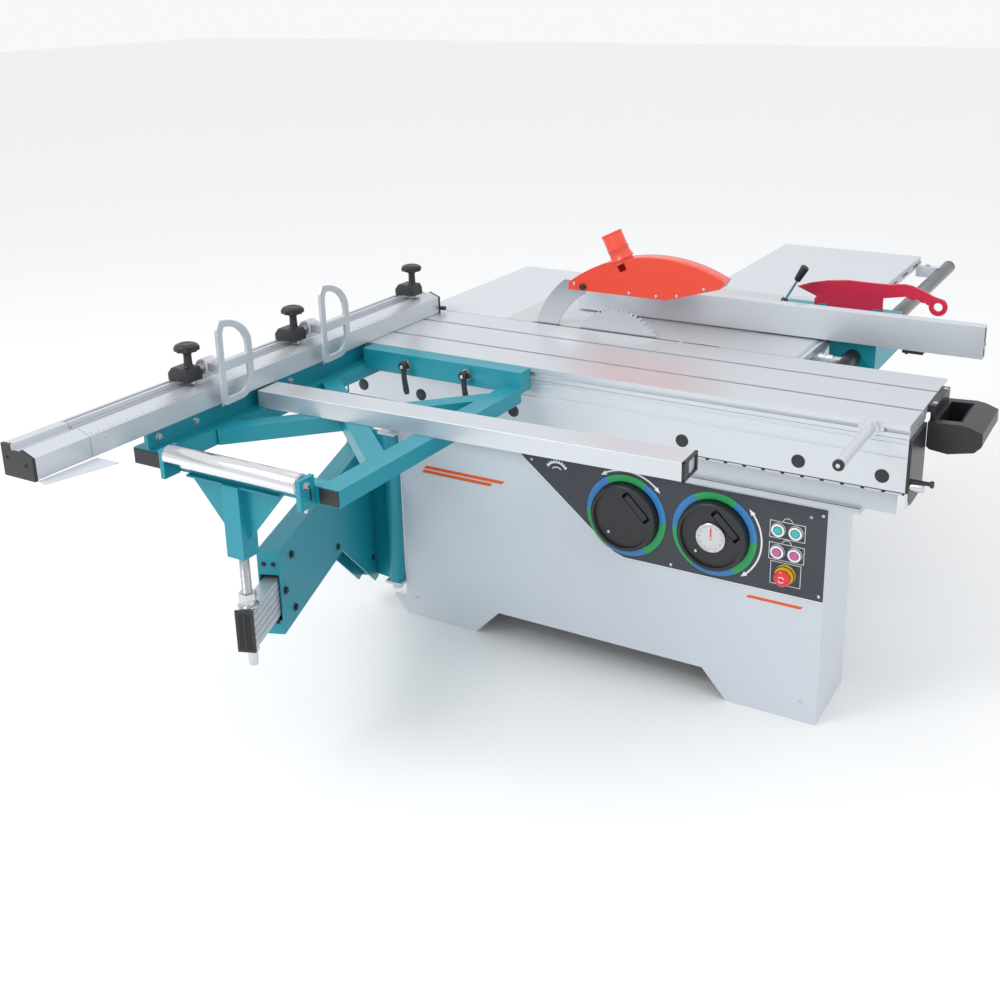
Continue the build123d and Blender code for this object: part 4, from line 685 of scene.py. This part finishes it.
# end frame of the support bar
skew = Matrix.Rotation(radians(2), 4, "Z")
end = Matrix.Translation(Vector((458, -796, 0))) @ skew
p = Piece().use("black_plastic")
for y, z in (((-41, -33), (829, 874.4)), ((33, 41), (829, 874.4)), ((-41, 41), (829, 835)),
             ((-41, 41), (869, 874.4))):
    p.box((-2, 5), y, z, end)
p.box((-2, 4), (-33, -12), (835, 869), end)
p.use("light_skirt").box((-1, 3.4), (-8, 8), (838, 866), end)
p.done("support_bar_cap", "table", 0.8, slot="black_plastic")

# ---- swing arm fittings -------------------------------------------------------------------
lean = radians(20.5)
along = Vector((-sin(lean), cos(lean), 0))
across = Vector((cos(lean), sin(lean), 0))
rod = Vector((-457, -1205, 0))
arm_frame = Matrix((across.to_4d(), along.to_4d(), (0, 0, 1, 0), (0, 0, 0, 1))).transposed()
arm_frame.col[3] = (*rod, 1)
arm_frame[3][0] = arm_frame[3][1] = arm_frame[3][2] = 0
p = Piece().use("black_plastic")
for s, z in ((215, 510), (215, 365), (560, 365), (560, 510), (160, 440), (870, 470), (870, 180)):
    for side in (-1, 1):
        p.bolt(rod + along * s + across * (28 * side) + Vector((0, 0, z)), across * side, 8, 6)
for side in (-1, 1):
    for z in (520, 366):
        p.bolt(rod + along * 136 + across * (12 * side) + Vector((0, 0, z)), -along, 4.5, 4)
p.done("arm_screws", "arm", 0.5, slot="black_plastic")
p = Piece().use("black_plastic")
p.box((-22, 22), (-32, -26), (378, 484), arm_frame)
# painted shade: a near-black panel stands for the shaded recess behind the rib
p.use("dark_slot")
p.box((-15, 15), (-32.6, -31), (386, 476), arm_frame)
p.use("black_plastic").box((-2.5, 2.5), (-33.4, -31), (386, 476), arm_frame)
p.use("anodised_y")
for z in (396, 414, 431, 448, 466):
    for x in ((-21, -18.8), (18.8, 21)):
        p.box(x, (-26, 690), (z - 4, z + 4), arm_frame)
p.use("bolt_zinc")
profile_thread = []
for k in range(40):
    profile_thread += [(3.0 * k, 10.2), (3.0 * k + 1.5, 12.2)]
p.lathe(rod + Vector((0, 0, 490)), (0, 0, 1), profile_thread, 28)
p.lathe(rod + Vector((0, 0, 500)), (0, 0, 1), [(0, 20), (1.5, 22), (16.5, 22), (18, 20)], 6)
p.lathe(rod + Vector((0, 0, 484)), (0, 0, 1), [(0, 25), (3, 25), (5, 18), (16, 18)], 32)
p.lathe(rod + Vector((0, 0, 334)), (0, 0, 1), [(0, 9), (4, 12), (30, 12), (31, 17), (38, 17), (40, 14)], 6)
p.done("arm_tube_trim", "arm_tube", 0.5, slot="anodised")
p = Piece().use("bolt_zinc")
for y in (-330, -304):
    for z in (110, 594):
        p.bolt((-655, y, z), (0, 0, 1), 6, 7)
p.use("cabinet_paint")
p.prism([(-640, 4), (-682, 46), (-682, 58), (-640, 58)], (0, -341, 0), (1, 0, 0), (0, 0, 1), 3)
p.prism([(-640, 640), (-640, 593), (-690, 593)], (0, -296, 0), (1, 0, 0), (0, 0, 1), 6)
p.done("hinge_fittings", "base", 0.6, slot="cabinet_paint")

# ---- handles ------------------------------------------------------------------------------
p = Piece().use("anodised_y")
p.lathe((742, -399, 857), (0, -1, 0), [(0, 19), (6, 19), (7, 12.6), (257, 12.6)], 40)
p.box((712, 772), (-399, -392.4), (852.4, 861.6))
p.use("black_plastic").lathe((742, -655, 857), (0, -1, 0), [(0, 13), (5, 13.2), (8, 12), (8.4, 5)], 36)
p.use("bolt_zinc").lathe((742, -663, 857), (0, -1, 0), [(0, 5), (0.8, 5), (1, 3)], 20)
p.done("rod_handle_bar", "table", 0.5, ("rod_handle",), "anodised")

p = Piece().use("black_plastic")
outer = [(837, 775), (845, 768), (888, 763), (948, 776), (963, 792), (965, 798), (964, 826), (934, 837),
         (912, 840), (837, 836)]
for y0, y1 in ((-245, -219), (-71, -45)):
    p.prism(outer, (0, y1, 0), (1, 0, 0), (0, 0, 1), y1 - y0)
p.prism([(837, 775), (845, 768), (888, 763), (948, 776), (948, 786), (837, 786)], (0, -70, 0), (1, 0, 0),
        (0, 0, 1), 150)
p.prism([(912, 840), (934, 837), (964, 826), (965, 798), (950, 790), (906, 798), (903, 832)], (0, -70, 0),
        (1, 0, 0), (0, 0, 1), 150)
p.prism([(837, 836), (856, 837), (856, 786), (837, 786)], (0, -70, 0), (1, 0, 0), (0, 0, 1), 150)
p.box((837.5, 849), (-225, -65), (835, 872))
p.box((830, 838), (-225, -65), (854, 872))
p.use("bolt_zinc")
for y in (-205, -85):
    p.bolt((843, y, 872), (0, 0, 1), 5, 1.5)
p.done("push_handle_tray", "table", 3.0, ("push_handle",), "black_plastic")

# ---- rip fence, carriage, lever, push stick -----------------------------------------------
p = Piece().use("black_plastic")
p.lathe((265, 395, 908), (0, 0, 1), [(0, 15), (5, 15), (10, 12), (17, 10), (22, 6)], 32)
tilt_axis = Vector((sin(radians(29)), 0, cos(radians(29))))
p.use("chrome").lathe(Vector((265, 395, 922)), tilt_axis, [(0, 5.2), (76, 5.2)], 28)
p.use("black_plastic").lathe(Vector((265, 395, 922)) + tilt_axis * 72, tilt_axis,
                             [(0, 7), (2, 10), (46, 12.6), (50, 11.5), (52, 7)], 32)
p.lathe((265, 395, 892), (0, 0, 1), [(0, 5), (18, 5)], 20)
p.done("rip_lever_rod", "rip_lever", 0.6, ("rip_lever",), "black_plastic")

curve = bpy.data.curves.new("push_stick_outline", "CURVE")
curve.dimensions = "2D"
curve.fill_mode = "BOTH"


def stick_loop(points):
    s = curve.splines.new("POLY")
    s.points.add(len(points) - 1)
    for pt, (a, b) in zip(s.points, points):
        pt.co = (a * MM, b * MM, 0, 1)
    s.use_cyclic_u = True


stick_loop([(345, 902), (546, 902), (546, 950), (613, 962), (624, 955), (634, 953), (641, 958), (650, 956),
            (657, 949), (668, 949), (674, 944)]
           + arc(704, 940, 25, 172, 418, 24) + [(690, 968), (660, 982), (628, 993), (606, 996), (560, 990),
                                                (500, 990), (444, 991), (380, 984), (330, 972), (292, 958),
                                                (352, 934), (345, 926)])
stick_loop(arc(704, 940, 13.5, 0, 360, 24)[:-1])
curve.extrude = 0.0028
curve.bevel_depth = 0.0013
curve.bevel_resolution = 2
flat = bpy.data.objects.new("outline", curve)
bpy.context.scene.collection.objects.link(flat)
bpy.context.view_layer.update()
stick_mesh = bpy.data.meshes.new_from_object(flat)
bpy.data.objects.remove(flat)
stick_mesh.transform(Matrix(((1, 0, 0, 0), (0, 0, -1, 0.440), (0, 1, 0, 0), (0, 0, 0, 1))))
p = Piece()
p.bm.from_mesh(stick_mesh)
p.use("stick_red")
for f in p.bm.faces:
    f.material_index = 0
for a in ((320, 966, 372, 948), (316, 958, 356, 944), (400, 950, 430, 954), (470, 956, 500, 960)):
    d = Vector((a[2] - a[0], a[3] - a[1])).normalized()
    n = Vector((-d.y, d.x)) * 1.6
    p.prism([(a[0], a[1]), (a[2], a[3]), (a[2] + n.x, a[3] + n.y), (a[0] + n.x, a[1] + n.y)], (0, 436.2, 0),
            (1, 0, 0), (0, 0, 1), 0.9)
p.done("push_stick_shaped", "push_stick", 0, ("push_stick",), "stick_red")

lo, hi = box_mm("rip_fence")
# painted shade: near-black insets stand for the shaded hollows in the fence's end
p = Piece().use("dark_slot")
x = hi[0]
for y, z in (((lo[1] + 5, lo[1] + 20), (lo[2] + 6, lo[2] + 24)),
             ((lo[1] + 5, lo[1] + 20), (lo[2] + 46, hi[2] - 6)), ((hi[1] - 10, hi[1] - 0.5), (lo[2] + 31,
             lo[2] + 39))):
    p.box((x - 3, x + 0.4), y, z)
p.done("rip_fence_end", "rip_fence", 0, slot="black_plastic")
p = Piece().use("black_plastic")
p.box((668, 724), (186, 215), (868, 877))
p.lathe((680, 185, 870), (0, 1, 0), [(0, 5), (29, 5)], 20)
p.done("rip_fence_clamp_bar", "rip_fence", 1.0, slot="black_plastic")
lo, hi = box_mm("fence_scale_rail")
p = Piece().use("dark_slot")
for k in range(63):
    y = lo[1] + 6 + 10 * k
    p.box((lo[0] + 2 if k % 5 == 0 else lo[0] + 3, lo[0] + 4.6), (y, y + 0.7), (hi[2] - 0.1, hi[2] + 0.1))
p.done("scale_ticks", "base", 0, slot="dark_plate")
p = Piece().use("black_plastic")
p.lathe((527, 1464, 828), (0, 1, 0), [(-2, 22.7), (2, 22.7), (4, 20), (4.4, 6)], 40)
p.lathe((527, 20, 828), (0, -1, 0), [(-2, 22.7), (2, 22.7), (4, 20), (4.4, 6)], 40)
p.done("rail_plugs", "base", 0.5, slot="black_plastic")
p = Piece().use("bolt_zinc")
p.lathe((462, 110, 850), (1, 0, 0), [(0, 9), (40, 9)], 28)
p.bolt((500, 96, 836), (0, -1, 0), 8, 7)
p.use("dark_plate").box((454, 474), (238, 262), (838, 862))
for y in (110, 1340):
    p.use("bolt_zinc").bolt((480, y, 852), (0, 0, 1), 7, 6)
p.done("rail_fittings", "base", 0.6, slot="chrome")
# painted shade: near-black strips stand for the shaded slots in the side table's edge
p = Piece().use("dark_slot")
for k in range(5):
    y = 680 + 150 * k
    p.box((441.6, 442.4), (y, y + 70), (852, 858))
p.use("bolt_zinc")
for y in (650, 1375):
    p.bolt((442, y, 856), (1, 0, 0), 6, 5)
p.done("side_table_slots", "base", 0, slot="dark_plate")

# ---- rear and sides -----------------------------------------------------------------------
# painted shade: near-black bands behind the louvre slats stand for the shaded openings
p = Piece().use("dark_slot")
for k in range(9):
    z = 190 + 16 * k
    p.box((-60, 120), (358.3, 359.2), (z, z + 6))
p.use("cabinet_paint")
for k in range(9):
    z = 190 + 16 * k
    p.prism([(0, 0), (4.5, -3), (0, 6)], (-60, 358.4, z + 3), (0, 1, 0), (0, 0, 1), 180)
p.use("black_plastic")
p.lathe((-125, 372, 390), (0, 1, 0), [(0, 16), (3, 16), (4, 13)], 32)
p.done("door_louvres", "door", 0.4, slot="cabinet_paint")
p = Piece().use("stop_yellow")
p.box((-620.8, -619.6), (90, 160), (440, 520))
p.use("button_red").lathe((-620, 125, 480), (-1, 0, 0), [(0, 24), (6, 24), (8, 22), (8, 6)], 40)
p.box((-640, -626), (118, 132), (458, 502))
p.use("bolt_zinc")
for y in (14, 246):
    for z in (274, 566):
        p.socket((-620, y, z), (-1, 0, 0), 5, 3)
p.use("dark_plate").box((-621, -619.7), (40, 220), (548, 552))
p.use("black_plastic").lathe((-570, 60, 236), (0, 0, -1), [(-6, 17), (0, 17), (4, 14), (16, 9), (18, 7.5)],
                             12)
p.done("electric_box_fittings", "base", 0.6, slot="panel_dark")
p = Piece().use("black_plastic")
p.lathe((-300, 355, 180), (0, 1, 0), [(0, 72), (2, 72), (3, 63), (8, 61), (8, 59.5), (0, 59.5)], 48, True)
p.lathe((-300, 405, 180), (0, 1, 0), [(0, 60.5), (2, 62.5), (8, 62.5), (10, 60.5), (10, 58), (0, 58)], 48,
        True)
p.done("dust_outlet_rings", "base", 0.5, slot="black_plastic")
p = Piece().use("bolt_zinc")
for x in (-480, 480):
    for y in (-285, 285):
        p.bolt((x, y, 6.2), (0, 0, 1), 12, 12)
for x in (-600, 600):
    for z in (60, 580):
        p.socket((x, -345, z), (0, -1, 0), 5, 2.5)
p.done("cabinet_screws", "base", 0.4, slot="chrome")

# ---- floor and light ----------------------------------------------------------------------
floor_mesh = bpy.data.meshes.new("floor")
floor_mesh.from_pydata([(-30, -30, 0), (30, -30, 0), (30, 30, 0), (-30, 30, 0)], [], [(0, 1, 2, 3)])
floor = bpy.data.objects.new("floor", floor_mesh)
bpy.context.scene.collection.objects.link(floor)
floor_mesh.materials.append(material("floor_paper", (0.93, 0.93, 0.93), 0.8, vary=0.005, bump=0.02))

world = bpy.data.worlds.new("studio")
bpy.context.scene.world = world
world.use_nodes = True
world.node_tree.nodes["Background"].inputs["Color"].default_value = (0.98, 0.99, 1.0, 1)
world.node_tree.nodes["Background"].inputs["Strength"].default_value = 0.95


def lamp(name, place, target, size, power):
    data = bpy.data.lights.new(name, "AREA")
    data.size = size
    data.energy = power
    obj = bpy.data.objects.new(name, data)
    bpy.context.scene.collection.objects.link(obj)
    obj.location = place
    obj.rotation_euler = (Vector(target) - Vector(place)).to_track_quat("-Z", "Y").to_euler()


lamp("key", (-2.2, -3.6, 4.2), (0, 0, 0.6), 2.2, 105)
lamp("top", (0.6, 0.4, 4.8), (0, 0, 0.6), 4.0, 20)
lamp("side", (4.2, -1.2, 2.4), (0, 0, 0.6), 2.5, 8)
bpy.context.scene.view_settings.view_transform = "Standard"
